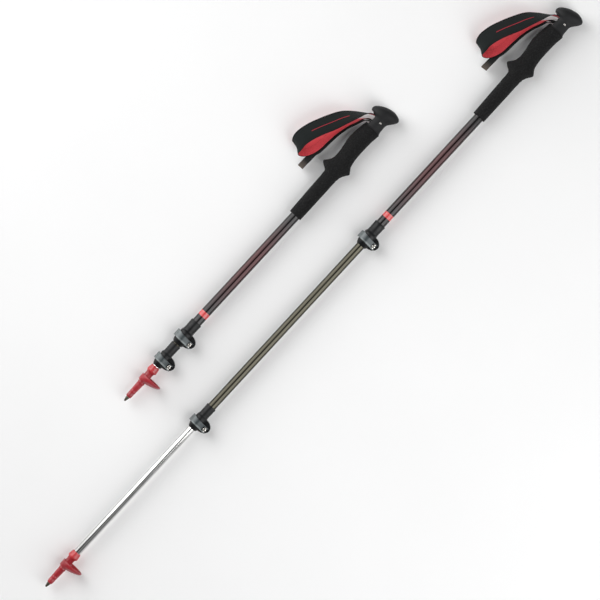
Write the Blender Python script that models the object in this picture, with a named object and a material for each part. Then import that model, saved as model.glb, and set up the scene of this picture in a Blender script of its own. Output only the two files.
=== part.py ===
"""A pair of three-section trekking poles with lever clamps, lying side by side.

The right pole is drawn out to its full length and the left pole is pushed together.
Each pole is modelled in its own frame, in millimetres: x runs along the shaft from the
carbide tip to the top of the head, y points to the wrist-strap side and z points up from
the shaft axis. Both poles share every function below, and each mesh is turned into metres
when its object is made.
"""
import math

import bmesh
import bpy
from mathutils import Matrix, Vector

MM = 0.001
FIT = 0.3                      # gap between neighbouring pieces
SIDES = 20                     # facets round a turned piece
PIN_SIDES = 12                 # facets round a screw, pin or barrel

# Tubes: outside diameters as radii, one wall for all three
UPPER_R, MIDDLE_R, LOWER_R = 9.0, 7.75, 6.5
TUBE_WALL = 0.6

# Stations along a pole that is drawn out
POLE_LENGTH = 1350.0
FERRULE_START, FERRULE_END = 9.5, 80.5
FERRULE_SOCKET = 69.0          # bottom of the collar's socket for the lower shaft
BASKET_SEAT = 51.5
LOWER_CLAMP_X = 372.0          # where the lower clamp's nose begins
UPPER_CLAMP_X = 801.5
GRIP_START = 1105.0
HEAD_START = 1302.5
LOWER_SHAFT_TOP = 490.0
MIDDLE_SHAFT_TOP = 892.0
UPPER_SHAFT_TOP = 1300.0

# Basket: a round hub and an oval rim that is shifted towards the lever side
BASKET_SIDES = 24
BASKET_BORE = 7.2
BASKET_HUB_WALL = 1.5
BASKET_HALF_Y, BASKET_HALF_Z, BASKET_SHIFT = 20.4, 17.7, -11.1

# Bushes in the tops of the sliding tubes
PLUG_BORE, PLUG_DEPTH, PLUG_HEIGHT = 3.0, 12.0, 8.0

# Travel of the two telescoping sections: each stops 1 mm short of the next clamp
STOW_GAP = 1.0
CLAMP_LENGTH = 51.0
LOWER_TRAVEL = LOWER_CLAMP_X - FERRULE_END - STOW_GAP
MIDDLE_TRAVEL = UPPER_CLAMP_X - (LOWER_CLAMP_X + CLAMP_LENGTH) - STOW_GAP

# Lever clamp, measured from its nose (along x) and from the shaft axis (y, z)
RING_START, RING_END = 7.0, 26.0
SLEEVE_START = 29.5
SHOULDER = 22.0                # the outer tube ends here
LOWER_RING_R, UPPER_RING_R = 10.7, 12.2
SLEEVE_WALL = 1.15
POD_X, POD_HALF_LENGTH = 16.0, 12.0
POD_REACH = 25.5
POD_FACETS = 12
POD_TOP, POD_BOTTOM = 2.2, -9.0
SLIT_TOP, SLIT_BOTTOM = -1.4, -2.6
LEVER_X = 13.5                 # centre of the lever and of the tension screw
PIVOT_Y, PIVOT_Z = -17.5, 7.0
CAM_R = 4.5
LEVER_HALF_WIDTH = 5.7
LEVER_THICKNESS = 2.8
LEVER_LEAN = 0.05              # the free end leans towards the grip
WINDOW_HALF_WIDTH, WINDOW_R = 3.9, 6.6
BARREL_R = 2.4
SCREW_R, SCREW_HEAD_R, SCREW_HEAD_H = 1.5, 3.0, 2.4
SCREW_END = -8.7
SLOT_WIDTH, SLOT_DEPTH, SLOT_ANGLE = 1.0, 0.9, 56.0
NUT_FLATS, NUT_HEIGHT = 5.5, 2.1

# Strap: webbing at the head, padded band at the wrist
PIN_X, PIN_R, PIN_HALF = 1319.0, 2.0, 14.2
SLOT_X, SLOT_FLOOR, SLOT_HALF = (1305.5, 1326.8), -5.2, 10.0
SPIGOT_LENGTH = 15.0
WEDGE_LOW, WEDGE_HIGH = (1315.0, 3.2, -9.0), (1323.0, 14.0, 9.0)
TURN_R = 5.5                   # the webbing's middle line round the pin
TURN_Y = 2.0
WEBBING_HALF = 7.5
BAND_HALF = 14.5
BAND_THICKNESS = 2.4
TAIL_THICKNESS = 1.6
TAIL_OFFSET = 3.2              # from the band's middle to the tail's middle
TAIL_SHOWS = 1.5               # the tail's edge stands past the band's edge

# Where the poles lie: the world origin is under the middle of the pair
AXIS_HEIGHT = 18.0
PAIR_CENTRE_X = POLE_LENGTH / 2
PAIR_CENTRE_Y = 91.45
POLE_SPACING = 117.8
STOWED_HEAD_END = 1010.0       # the stowed pole's head, along the drawn-out pole


def clear_scene():
    """Remove every object of the open file."""
    for old in list(bpy.data.objects):
        bpy.data.objects.remove(old)


def make_material(name, colour, roughness, metallic=0.0):
    """Return a Principled material with one colour."""
    material = bpy.data.materials.new(name)
    material.use_nodes = True
    shader = material.node_tree.nodes["Principled BSDF"]
    shader.inputs["Base Color"].default_value = (*colour, 1.0)
    shader.inputs["Roughness"].default_value = roughness
    shader.inputs["Metallic"].default_value = metallic
    return material


def make_materials():
    """Return the pair's finishes by name."""
    return {
        "red_plastic": make_material("red_plastic", (0.55, 0.03, 0.04), 0.4),
        "carbide": make_material("carbide", (0.08, 0.075, 0.06), 0.35, 1.0),
        "bare_aluminium": make_material("bare_aluminium", (0.78, 0.78, 0.77), 0.18, 1.0),
        "graphite_aluminium": make_material("graphite_aluminium", (0.12, 0.12, 0.09), 0.22, 1.0),
        "black_aluminium": make_material("black_aluminium", (0.04, 0.035, 0.035), 0.2, 0.8),
        "black_plastic": make_material("black_plastic", (0.015, 0.016, 0.018), 0.45),
        "grey_lever": make_material("grey_lever", (0.22, 0.25, 0.25), 0.4, 0.5),
        "steel": make_material("steel", (0.7, 0.69, 0.66), 0.25, 1.0),
        "foam": make_material("foam", (0.025, 0.025, 0.025), 0.85),
        "head_rubber": make_material("head_rubber", (0.02, 0.02, 0.022), 0.6),
        "webbing": make_material("webbing", (0.02, 0.022, 0.024), 0.9),
    }


def new_object(name, bm, material, frame, origin=(0.0, 0.0, 0.0), smooth=True):
    """Make an object from a bmesh in millimetres, with its origin at a point of the pole's frame."""
    bmesh.ops.remove_doubles(bm, verts=bm.verts, dist=0.001)
    bmesh.ops.recalc_face_normals(bm, faces=bm.faces)
    bmesh.ops.translate(bm, verts=bm.verts, vec=-Vector(origin))
    bmesh.ops.scale(bm, verts=bm.verts, vec=(MM, MM, MM))
    mesh = bpy.data.meshes.new(name)
    bm.to_mesh(mesh)
    bm.free()
    if smooth:
        mesh.shade_smooth()
        mesh.set_sharp_from_angle(angle=math.radians(35))
    piece = bpy.data.objects.new(name, mesh)
    piece.parent = frame
    piece.location = Vector(origin) * MM
    bpy.context.collection.objects.link(piece)
    if material:
        mesh.materials.append(material)
    return piece


def boolean(target, tool, operation="DIFFERENCE"):
    """Cut or join a target with a tool object, which is then only a guide."""
    tool.hide_render = True
    tool.display_type = "WIRE"
    modifier = target.modifiers.new(tool.name, "BOOLEAN")
    modifier.operation = operation
    modifier.solver = "EXACT"
    modifier.object = tool


def turned(profile, sides=SIDES, closed=False):
    """Spin a profile of (x, radius) points about the x axis."""
    bm = bmesh.new()
    verts = [bm.verts.new((x, 0.0, radius)) for x, radius in profile]
    edges = [bm.edges.new(pair) for pair in zip(verts, verts[1:])]
    if closed:
        edges.append(bm.edges.new((verts[-1], verts[0])))
    bmesh.ops.spin(bm, geom=verts + edges, cent=(0, 0, 0), axis=(1, 0, 0),
                   angle=math.tau, steps=sides, use_merge=True)
    return bm


def tube(start, end, outer, inner, sides=SIDES):
    """A straight tube about the x axis."""
    return turned([(start, outer), (end, outer), (end, inner), (start, inner)], sides, closed=True)


def rod_along_z(x, y, low, high, radius, sides=PIN_SIDES):
    """A solid cylinder that stands along z."""
    bm = bmesh.new()
    bmesh.ops.create_cone(bm, cap_ends=True, segments=sides, radius1=radius, radius2=radius,
                          depth=high - low, matrix=Matrix.Translation((x, y, (low + high) / 2)))
    return bm


def rod_along_x(x, y, z, half_length, radius, sides=PIN_SIDES):
    """A solid cylinder that lies along x."""
    bm = bmesh.new()
    turn = Matrix.Translation((x, y, z)) @ Matrix.Rotation(math.pi / 2, 4, "Y")
    bmesh.ops.create_cone(bm, cap_ends=True, segments=sides, radius1=radius, radius2=radius,
                          depth=2 * half_length, matrix=turn)
    return bm


def box(low, high):
    """A box between two corners."""
    bm = bmesh.new()
    low, high = Vector(low), Vector(high)
    place = Matrix.Translation((low + high) / 2) @ Matrix.Diagonal((*(high - low), 1.0))
    bmesh.ops.create_cube(bm, size=1.0, matrix=place)
    return bm


def prism(outline, half_width, centre_x):
    """Extrude a (y, z) outline along x, to both sides of centre_x."""
    bm = bmesh.new()
    face = bm.faces.new([bm.verts.new((centre_x - half_width, y, z)) for y, z in outline])
    made = bmesh.ops.extrude_face_region(bm, geom=[face])
    moved = [item for item in made["geom"] if isinstance(item, bmesh.types.BMVert)]
    bmesh.ops.translate(bm, verts=moved, vec=(2 * half_width, 0, 0))
    return bm


def arc(centre, radius, start, end, steps):
    """Points on an arc in the (y, z) plane; angles in degrees from +y towards +z."""
    angles = [math.radians(start + (end - start) * step / steps) for step in range(steps + 1)]
    return [(centre[0] + radius * math.cos(a), centre[1] + radius * math.sin(a)) for a in angles]


def ring_loft(rings):
    """Join rings of equal point counts, and close both ends with a face."""
    bm = bmesh.new()
    loops = [[bm.verts.new(point) for point in ring] for ring in rings]
    count = len(rings[0])
    for lower, upper in zip(loops, loops[1:]):
        for i in range(count):
            j = (i + 1) % count
            bm.faces.new((lower[i], lower[j], upper[j], upper[i]))
    bm.faces.new(loops[0])
    bm.faces.new(list(reversed(loops[-1])))
    return bm


def oval_ring(x, front, back, half_z, sides=SIDES):
    """An oval section at x, from y = front to y = back."""
    centre, half_y = (front + back) / 2, (back - front) / 2
    return [(x, centre + half_y * math.cos(math.tau * i / sides),
             half_z * math.sin(math.tau * i / sides)) for i in range(sides)]


# ---------------------------------------------------------------- lower section

def carbide_tip():
    """Hard metal tip: a blunt cone with a shank that sits in the ferrule."""
    return turned([(0.0, 0.0), (0.0, 1.3), (1.5, 1.7), (9.2, 3.6), (9.2, 2.5), (23.0, 2.5), (23.0, 0.0)],
                  sides=PIN_SIDES)


def tip_ferrule():
    """Tapered tip body with a flared collar and a spigot that plugs the lower shaft."""
    shank_bore = 2.5 + FIT
    socket_r = LOWER_R + FIT
    spigot_r = LOWER_R - TUBE_WALL - FIT
    spigot_end = FERRULE_END + 14.0
    return turned([
        (23.6, 0.0), (23.6, shank_bore), (FERRULE_START, shank_bore), (FERRULE_START, 4.6),
        (10.6, 5.2), (45.0, 6.3), (67.0, 7.1), (69.5, 9.3), (71.5, 9.5), (79.0, 8.4),
        (FERRULE_END, 7.6), (FERRULE_END, socket_r), (FERRULE_SOCKET, socket_r),
        (FERRULE_SOCKET, spigot_r), (spigot_end, spigot_r), (spigot_end, 0.0)])


def basket_ring(x, inset, blend):
    """One outline of the basket, between its round hub (blend 0) and its oval rim (blend 1)."""
    hub_r = BASKET_BORE + BASKET_HUB_WALL
    points = []
    for i in range(BASKET_SIDES):
        angle = math.tau * i / BASKET_SIDES
        hub = Vector((x, hub_r * math.cos(angle), hub_r * math.sin(angle)))
        rim = Vector((x, BASKET_SHIFT + (BASKET_HALF_Y - inset) * math.cos(angle),
                      (BASKET_HALF_Z - inset) * math.sin(angle)))
        points.append(hub.lerp(rim, blend))
    return points


def join_rings(rings):
    """Join rings of equal point counts into a closed skin that returns to the first ring."""
    bm = bmesh.new()
    loops = [[bm.verts.new(point) for point in ring] for ring in rings]
    count = len(rings[0])
    for lower, upper in zip(loops, loops[1:] + loops[:1]):
        for i in range(count):
            j = (i + 1) % count
            bm.faces.new((lower[i], lower[j], upper[j], upper[i]))
    return bm


def round_ring(x, radius, sides=SIDES):
    """A round ring about the x axis."""
    return [(x, *point) for point in arc((0, 0), radius, 0, 360, sides)[:-1]]


def trekking_basket():
    """Dished basket, set off centre so that it reaches furthest on the lever side."""
    low, high = BASKET_SEAT - 5.7, BASKET_SEAT + 6.3
    hub_top = high - 1.0
    skin = [basket_ring(*station) for station in (
        (low, 0, 0), (low + 1.5, 0, 0.12), (low + 5.5, 0, 0.75), (high - 2.2, 0, 1.0), (high - 0.6, 0.2, 1.0),
        (high - 0.8, 1.6, 1.0), (low + 7.4, 1.0, 0.78), (low + 4.6, 0, 0.12), (hub_top, 0, 0))]
    bore = [round_ring(x, BASKET_BORE, BASKET_SIDES) for x in (hub_top, low)]
    return join_rings([bore[1]] + skin + [bore[0]])


def guide_plug(tube_top, tube_r, outer_tube_r):
    """Bush in the top of a sliding tube, whose flange runs in the tube outside it."""
    spigot_r = tube_r - TUBE_WALL - FIT
    flange_r = outer_tube_r - TUBE_WALL - FIT
    bottom, start = tube_top - PLUG_DEPTH, tube_top + FIT
    end = start + PLUG_HEIGHT
    return turned([(bottom, PLUG_BORE), (bottom, spigot_r), (start, spigot_r), (start, flange_r),
                   (end - 1.0, flange_r), (end, flange_r - 1.0), (end, PLUG_BORE)], closed=True)


# ---------------------------------------------------------------- lever clamp

def clamp_collar(name, material, frame, nose_x, inner_r, outer_r, ring_r):
    """Collar that is fixed on the outer tube and whose slit ring squeezes the inner tube."""
    bore, seat = inner_r + FIT, outer_r + FIT
    sleeve_r = seat + SLEEVE_WALL
    profile = [
        (0.0, bore + 0.9), (RING_START - 2.0, ring_r - 0.9), (RING_START, ring_r), (RING_END, ring_r),
        (SLEEVE_START, sleeve_r), (CLAMP_LENGTH - 2.0, sleeve_r), (CLAMP_LENGTH, sleeve_r - 0.7),
        (CLAMP_LENGTH, seat), (SHOULDER - FIT, seat), (SHOULDER - FIT, bore), (0.0, bore)]
    collar = new_object(name, turned([(nose_x + x, r) for x, r in profile], closed=True), material, frame)

    inner_y = seat + 0.5
    reach = POD_REACH - inner_y
    pod = bmesh.new()
    turns = [math.pi * i / POD_FACETS for i in range(POD_FACETS + 1)]
    outline = [(nose_x + POD_X + POD_HALF_LENGTH * math.cos(turn), -inner_y - reach * math.sin(turn),
                POD_BOTTOM) for turn in turns]
    face = pod.faces.new([pod.verts.new(point) for point in outline])
    made = bmesh.ops.extrude_face_region(pod, geom=[face])
    moved = [item for item in made["geom"] if isinstance(item, bmesh.types.BMVert)]
    bmesh.ops.translate(pod, verts=moved, vec=(0, 0, POD_TOP - POD_BOTTOM))
    boolean(collar, new_object(name + "_pod", pod, None, frame, smooth=False), "UNION")

    slit = box((nose_x - 1.0, -POD_REACH - 4.0, SLIT_BOTTOM),
               (nose_x + SLEEVE_START, -inner_r + 2.0, SLIT_TOP))
    boolean(collar, new_object(name + "_slit", slit, None, frame, smooth=False))
    hole = rod_along_z(nose_x + LEVER_X, PIVOT_Y, POD_BOTTOM - 1.0, POD_TOP + 1.0, SCREW_R + FIT)
    boolean(collar, new_object(name + "_hole", hole, None, frame, smooth=False))
    pocket_r = (NUT_FLATS / 2 + FIT) / math.cos(math.pi / 6)
    pocket_top = POD_BOTTOM + NUT_HEIGHT + 3 * FIT
    pocket = rod_along_z(nose_x + LEVER_X, PIVOT_Y, POD_BOTTOM - 1.0, pocket_top, pocket_r, sides=6)
    boolean(collar, new_object(name + "_pocket", pocket, None, frame, smooth=False))
    return collar


def clamp_lever(name, material, frame, nose_x, ring_r):
    """Cam lever that wraps over the ring, with two cheeks on the barrel."""
    inner, outer = ring_r + 0.4, ring_r + 0.4 + LEVER_THICKNESS
    outline = (arc((0, 0), outer, -13, 113, 9) + arc((PIVOT_Y, PIVOT_Z), CAM_R, 92, 350, 9)
               + arc((0, 0), inner, 139, -15, 10))
    centre = nose_x + LEVER_X
    bm = prism(outline, LEVER_HALF_WIDTH, centre)
    for vert in bm.verts:
        vert.co.x += LEVER_LEAN * (vert.co.y - PIVOT_Y)
    lever = new_object(name, bm, material, frame, origin=(centre, PIVOT_Y, PIVOT_Z))
    window = rod_along_x(centre, PIVOT_Y, PIVOT_Z, WINDOW_HALF_WIDTH, WINDOW_R, sides=16)
    boolean(lever, new_object(name + "_window", window, None, frame, smooth=False))
    eye = rod_along_x(centre, PIVOT_Y, PIVOT_Z, 2 * LEVER_HALF_WIDTH, BARREL_R + FIT)
    boolean(lever, new_object(name + "_eye", eye, None, frame, smooth=False))
    return lever


def clamp_barrel(name, material, frame, nose_x):
    """Cross barrel that the lever turns on and the tension screw passes through."""
    centre = nose_x + LEVER_X
    bm = rod_along_x(centre, PIVOT_Y, PIVOT_Z, LEVER_HALF_WIDTH - 0.3, BARREL_R)
    barrel = new_object(name, bm, material, frame)
    hole = rod_along_z(centre, PIVOT_Y, PIVOT_Z - 4.0, PIVOT_Z + 4.0, SCREW_R + FIT)
    boolean(barrel, new_object(name + "_hole", hole, None, frame, smooth=False))
    return barrel


def clamp_screw(name, material, frame, nose_x):
    """Slotted tension screw, its head on the barrel and its end in the nut."""
    centre = nose_x + LEVER_X
    under_head = PIVOT_Z + BARREL_R + FIT
    top = under_head + SCREW_HEAD_H
    profile = [(SCREW_END, 0.0), (SCREW_END, SCREW_R), (under_head, SCREW_R), (under_head, SCREW_HEAD_R),
               (top - 0.5, SCREW_HEAD_R), (top, SCREW_HEAD_R - 0.6), (top, 0.0)]
    bm = turned(profile, sides=PIN_SIDES)
    stand = Matrix.Translation((centre, PIVOT_Y, 0.0)) @ Matrix.Rotation(-math.pi / 2, 4, "Y")
    bmesh.ops.transform(bm, matrix=stand, verts=bm.verts)
    screw = new_object(name, bm, material, frame, origin=(centre, PIVOT_Y, 0.0))
    slot = box((-SCREW_HEAD_R - 1.0, -SLOT_WIDTH / 2, top - SLOT_DEPTH),
               (SCREW_HEAD_R + 1.0, SLOT_WIDTH / 2, top + 1.0))
    turn = Matrix.Translation((centre, PIVOT_Y, 0.0)) @ Matrix.Rotation(math.radians(SLOT_ANGLE), 4, "Z")
    bmesh.ops.transform(slot, matrix=turn, verts=slot.verts)
    boolean(screw, new_object(name + "_slot", slot, None, frame, smooth=False))
    return screw


def clamp_nut(nose_x):
    """Hexagon nut in the pocket under the pod."""
    centre = nose_x + LEVER_X
    low = POD_BOTTOM + FIT
    high = low + NUT_HEIGHT
    to_corner = 1 / math.cos(math.pi / 6)
    outer, bore = NUT_FLATS / 2 * to_corner, (SCREW_R + FIT) * to_corner
    corners = [math.tau * (i + 0.5) / 6 for i in range(6)]
    rings = [[(centre + radius * math.cos(a), PIVOT_Y + radius * math.sin(a), height) for a in corners]
             for radius, height in ((bore, low), (outer, low), (outer, high), (bore, high))]
    return join_rings(rings)


def add_clamp(prefix, materials, frame, nose_x, inner_r, outer_r, ring_r):
    """Build the five pieces of one clamp."""
    clamp_collar(prefix + "clamp_collar", materials["black_plastic"], frame, nose_x, inner_r, outer_r, ring_r)
    clamp_lever(prefix + "clamp_lever", materials["grey_lever"], frame, nose_x, ring_r)
    clamp_barrel(prefix + "clamp_barrel", materials["steel"], frame, nose_x)
    clamp_screw(prefix + "clamp_screw", materials["steel"], frame, nose_x)
    new_object(prefix + "clamp_nut", clamp_nut(nose_x), materials["steel"], frame, smooth=False)


# ---------------------------------------------------------------- grip and head

# Each station: x, front (y towards the lever side), back (y towards the strap), half height in z
GRIP_STATIONS = [
    (GRIP_START, -11.3, 12.3, 11.8), (1106.5, -11.6, 12.7, 12.1), (1150.0, -11.5, 14.3, 12.6),
    (1190.0, -11.3, 15.8, 13.2), (1197.0, -11.7, 18.0, 14.0), (1202.0, -12.5, 25.5, 15.5),
    (1206.8, -14.2, 29.4, 16.6), (1212.0, -17.3, 26.0, 17.0), (1218.0, -20.8, 21.6, 16.6),
    (1223.0, -18.0, 20.2, 15.4), (1230.0, -13.8, 19.4, 14.4), (1243.0, -11.2, 20.6, 14.4),
    (1257.0, -10.5, 23.0, 15.0), (1269.0, -10.4, 24.1, 15.4), (1284.0, -10.8, 23.2, 15.2),
    (1296.0, -12.2, 21.6, 14.8), (HEAD_START - FIT, -12.8, 21.0, 14.5)]

HEAD_STATIONS = [
    (HEAD_START, -11.6, 20.6, 14.2), (1307.0, -10.4, 20.0, 14.2), (1319.0, -9.8, 18.6, 14.5),
    (1323.5, -10.4, 20.4, 15.0), (1326.5, -12.0, 26.5, 16.4), (1330.6, -15.2, 28.8, 17.6),
    (1335.0, -18.6, 27.8, 18.0), (1339.3, -21.0, 24.0, 17.4), (1342.0, -21.4, 20.2, 16.2),
    (1344.6, -20.4, 15.8, 14.2), (1347.2, -17.2, 10.0, 11.0), (1349.2, -11.6, 2.6, 6.6),
    (POLE_LENGTH, -7.0, -2.6, 2.2)]


def foam_grip():
    """Long foam grip with a knob in front and behind, bored for the upper shaft."""
    bore = UPPER_R + FIT
    return join_rings([oval_ring(*station) for station in GRIP_STATIONS]
                      + [round_ring(HEAD_START - FIT, bore), round_ring(GRIP_START, bore)])


def grip_head(name, material, frame):
    """Domed head with a beak in front, a spigot for the shaft and a slot for the strap."""
    spigot = UPPER_R - TUBE_WALL - FIT
    spigot_rings = [round_ring(x, spigot) for x in (UPPER_SHAFT_TOP - SPIGOT_LENGTH, HEAD_START)]
    bm = ring_loft(spigot_rings + [oval_ring(*station) for station in HEAD_STATIONS])
    head = new_object(name, bm, material, frame)
    slot = box((SLOT_X[0], SLOT_FLOOR, -SLOT_HALF), (SLOT_X[1], 40.0, SLOT_HALF))
    boolean(head, new_object(name + "_slot", slot, None, frame, smooth=False))
    hole = rod_along_z(PIN_X, 0.0, -25.0, 25.0, PIN_R + FIT)
    boolean(head, new_object(name + "_pin_hole", hole, None, frame, smooth=False))
    return head


# ---------------------------------------------------------------- wrist strap

# Each station: middle point, direction of the width, half width.
# The first comes out of the head's slot on the upper strand, the last goes back in on the lower.
STRAP_STATIONS = [
    ((PIN_X + TURN_R, 8.0, 0.0), (0.0, 0.0, 1.0), WEBBING_HALF),
    ((PIN_X + 4.8, 17.0, 0.3), (0.0, 0.0, 1.0), WEBBING_HALF),
    ((1320.0, 25.0, 1.5), (0.1, -0.15, 1.0), WEBBING_HALF),
    ((1312.5, 33.0, 4.0), (0.0, -0.45, 0.9), 8.0),
    ((1301.5, 41.0, 8.0), (-0.3, -0.7, 0.65), 10.0),
    ((1283.0, 53.0, 13.0), (-0.42, -0.88, 0.22), 13.0),
    ((1263.0, 62.5, 16.0), (-0.42, -0.9, 0.0), BAND_HALF),
    ((1245.0, 71.0, 17.3), (-0.38, -0.92, 0.0), BAND_HALF),
    ((1226.0, 78.6, 16.6), (-0.3, -0.95, 0.0), BAND_HALF),
    ((1208.0, 82.6, 13.5), (-0.24, -0.97, 0.0), 14.0),
    ((1196.5, 80.6, 8.0), (-0.34, -0.94, 0.0), 12.8),
    ((1191.5, 76.2, 1.5), (-0.46, -0.88, 0.08), 12.8),
    ((1195.0, 69.2, -3.5), (-0.4, -0.84, 0.3), 13.8),
    ((1205.0, 62.0, -5.6), (-0.26, -0.8, 0.5), BAND_HALF),
    ((1218.0, 57.5, -6.2), (-0.18, -0.77, 0.6), BAND_HALF),
    ((1237.0, 55.6, -6.2), (-0.15, -0.76, 0.64), 14.2),
    ((1257.0, 52.2, -6.0), (-0.18, -0.74, 0.66), 13.0),
    ((1277.0, 45.2, -5.0), (-0.2, -0.66, 0.72), 11.0),
    ((1293.0, 35.0, -3.0), (-0.1, -0.45, 0.88), 8.8),
    ((1305.5, 27.0, -1.0), (0.0, -0.18, 0.98), WEBBING_HALF),
    ((PIN_X - 6.2, 18.5, 0.0), (0.0, 0.0, 1.0), WEBBING_HALF),
    ((PIN_X - TURN_R, 8.0, 0.0), (0.0, 0.0, 1.0), WEBBING_HALF)]

STRAP_STEPS = 3                # sections from one station to the next
TAIL_STATION_FIRST = 13        # the tail lies under the lower strand from here to the head
TAIL_END = [
    ((1170.5, 51.0, -3.5), (0.05, -0.75, 0.66)),
    ((1181.0, 51.0, -3.2), (0.0, -0.75, 0.66)),
    ((1192.0, 50.5, -2.6), (-0.1, -0.76, 0.63)),
    ((1200.0, 50.6, -2.0), (-0.16, -0.78, 0.6))]


def spline(points, closed, steps):
    """Catmull-Rom curve through equal-length tuples of numbers."""
    count = len(points)
    result = []
    spans = count if closed else count - 1
    for span in range(spans):
        index = [(span + k) % count if closed else min(max(span + k, 0), count - 1) for k in (-1, 0, 1, 2)]
        p0, p1, p2, p3 = (points[i] for i in index)
        for step in range(steps):
            t = step / steps
            result.append([
                0.5 * (2 * b + (c - a) * t + (2 * a - 5 * b + 4 * c - d) * t ** 2
                       + (3 * b - a - 3 * c + d) * t ** 3)
                for a, b, c, d in zip(p0, p1, p2, p3)])
    if not closed:
        result.append(list(points[-1]))
    return result


def ribbon_sections(samples, closed):
    """Frames along a ribbon: middle point, unit width, unit outward normal, half width."""
    count = len(samples)
    sections = []
    for i, sample in enumerate(samples):
        before = samples[(i - 1) % count if closed else max(i - 1, 0)]
        after = samples[(i + 1) % count if closed else min(i + 1, count - 1)]
        along = (Vector(after[:3]) - Vector(before[:3])).normalized()
        width = Vector(sample[3:6])
        width = (width - along * width.dot(along)).normalized()
        sections.append((Vector(sample[:3]), width, along.cross(width), sample[6]))
    return sections


def ribbon(sections, thickness, closed):
    """A strap of even thickness along its sections."""
    bm = bmesh.new()
    loops = []
    for middle, width, normal, half in sections:
        rise = thickness / 2
        corners = [(-half, -rise), (half, -rise), (half, rise), (-half, rise)]
        loops.append([bm.verts.new(middle + width * w + normal * n) for w, n in corners])
    pairs = list(zip(loops, loops[1:]))
    if closed:
        pairs.append((loops[-1], loops[0]))
    else:
        bm.faces.new(loops[0])
        bm.faces.new(list(reversed(loops[-1])))
    for lower, upper in pairs:
        for i in range(4):
            j = (i + 1) % 4
            bm.faces.new((lower[i], lower[j], upper[j], upper[i]))
    return bm


def strap_samples():
    """Samples round the whole strap: the visible loop, then its turn round the pin."""
    stations = [(*middle, *width, half) for middle, width, half in STRAP_STATIONS]
    for angle in (180, 240, 300, 360):
        radians = math.radians(angle)
        stations.append((PIN_X + TURN_R * math.cos(radians), TURN_Y + TURN_R * math.sin(radians), 0.0,
                         0.0, 0.0, 1.0, WEBBING_HALF))
    return spline(stations, closed=True, steps=STRAP_STEPS)


def strap_tail():
    """Free end of the webbing: it leaves the slot and lies behind the lower strand."""
    samples = strap_samples()
    sections = ribbon_sections(samples, closed=True)
    first, last = STRAP_STEPS * TAIL_STATION_FIRST, STRAP_STEPS * (len(STRAP_STATIONS) - 1)
    under = []
    for middle, width, normal, half in sections[first + 1:last + 1]:
        shift = TAIL_SHOWS * (half - WEBBING_HALF)
        under.append((*(middle + width * shift + normal * TAIL_OFFSET), *width, WEBBING_HALF))
    stations = [(*middle, *width, WEBBING_HALF) for middle, width in TAIL_END] + under
    return ribbon(ribbon_sections(stations, closed=False), TAIL_THICKNESS, closed=False)


# ---------------------------------------------------------------- assembly

def add_pole(side, materials, head_end, axis_y, stowed):
    """Build one pole, with its sections pushed in when it is stowed."""
    middle_shift = MIDDLE_TRAVEL if stowed else 0.0
    lower_shift = middle_shift + (LOWER_TRAVEL if stowed else 0.0)
    frames = {}
    for section, shift in (("upper", 0.0), ("middle", middle_shift), ("lower", lower_shift)):
        frame = bpy.data.objects.new(f"{side}_{section}_frame", None)
        frame.location = Vector((head_end - POLE_LENGTH + shift - PAIR_CENTRE_X,
                                 axis_y - PAIR_CENTRE_Y, AXIS_HEIGHT)) * MM
        bpy.context.collection.objects.link(frame)
        frames[section] = frame

    add_lower_section(side, materials, frames["lower"])
    add_middle_section(side, materials, frames["middle"])
    add_upper_section(side, materials, frames["upper"])


def add_lower_section(side, materials, frame):
    """Tip, basket and the thinnest tube with its bush."""
    new_object(f"{side}_carbide_tip", carbide_tip(), materials["carbide"], frame)
    new_object(f"{side}_tip_ferrule", tip_ferrule(), materials["red_plastic"], frame)
    new_object(f"{side}_basket", trekking_basket(), materials["red_plastic"], frame)
    shaft = tube(FERRULE_SOCKET + FIT, LOWER_SHAFT_TOP, LOWER_R, LOWER_R - TUBE_WALL)
    new_object(f"{side}_lower_shaft", shaft, materials["bare_aluminium"], frame)
    plug = guide_plug(LOWER_SHAFT_TOP, LOWER_R, MIDDLE_R)
    new_object(f"{side}_lower_guide_plug", plug, materials["black_plastic"], frame)


def add_middle_section(side, materials, frame):
    """Middle tube with its bush and the lower clamp."""
    shaft = tube(LOWER_CLAMP_X + SHOULDER, MIDDLE_SHAFT_TOP, MIDDLE_R, MIDDLE_R - TUBE_WALL)
    new_object(f"{side}_middle_shaft", shaft, materials["graphite_aluminium"], frame)
    plug = guide_plug(MIDDLE_SHAFT_TOP, MIDDLE_R, UPPER_R)
    new_object(f"{side}_middle_guide_plug", plug, materials["black_plastic"], frame)
    add_clamp(f"{side}_lower_", materials, frame, LOWER_CLAMP_X, LOWER_R, MIDDLE_R, LOWER_RING_R)


def add_upper_section(side, materials, frame):
    """Upper tube with the upper clamp, the grip, the head and the wrist strap."""
    shaft = tube(UPPER_CLAMP_X + SHOULDER, UPPER_SHAFT_TOP, UPPER_R, UPPER_R - TUBE_WALL)
    new_object(f"{side}_upper_shaft", shaft, materials["black_aluminium"], frame)
    add_clamp(f"{side}_upper_", materials, frame, UPPER_CLAMP_X, MIDDLE_R, UPPER_R, UPPER_RING_R)
    new_object(f"{side}_foam_grip", foam_grip(), materials["foam"], frame)
    grip_head(f"{side}_grip_head", materials["head_rubber"], frame)
    pin = rod_along_z(PIN_X, 0.0, -PIN_HALF, PIN_HALF, PIN_R)
    new_object(f"{side}_strap_pin", pin, materials["steel"], frame)
    wedge = box(WEDGE_LOW, WEDGE_HIGH)
    new_object(f"{side}_strap_wedge", wedge, materials["black_plastic"], frame, smooth=False)
    loop = ribbon(ribbon_sections(strap_samples(), closed=True), BAND_THICKNESS, closed=True)
    new_object(f"{side}_strap_loop", loop, materials["webbing"], frame, smooth=False)
    new_object(f"{side}_strap_tail", strap_tail(), materials["webbing"], frame, smooth=False)


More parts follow.
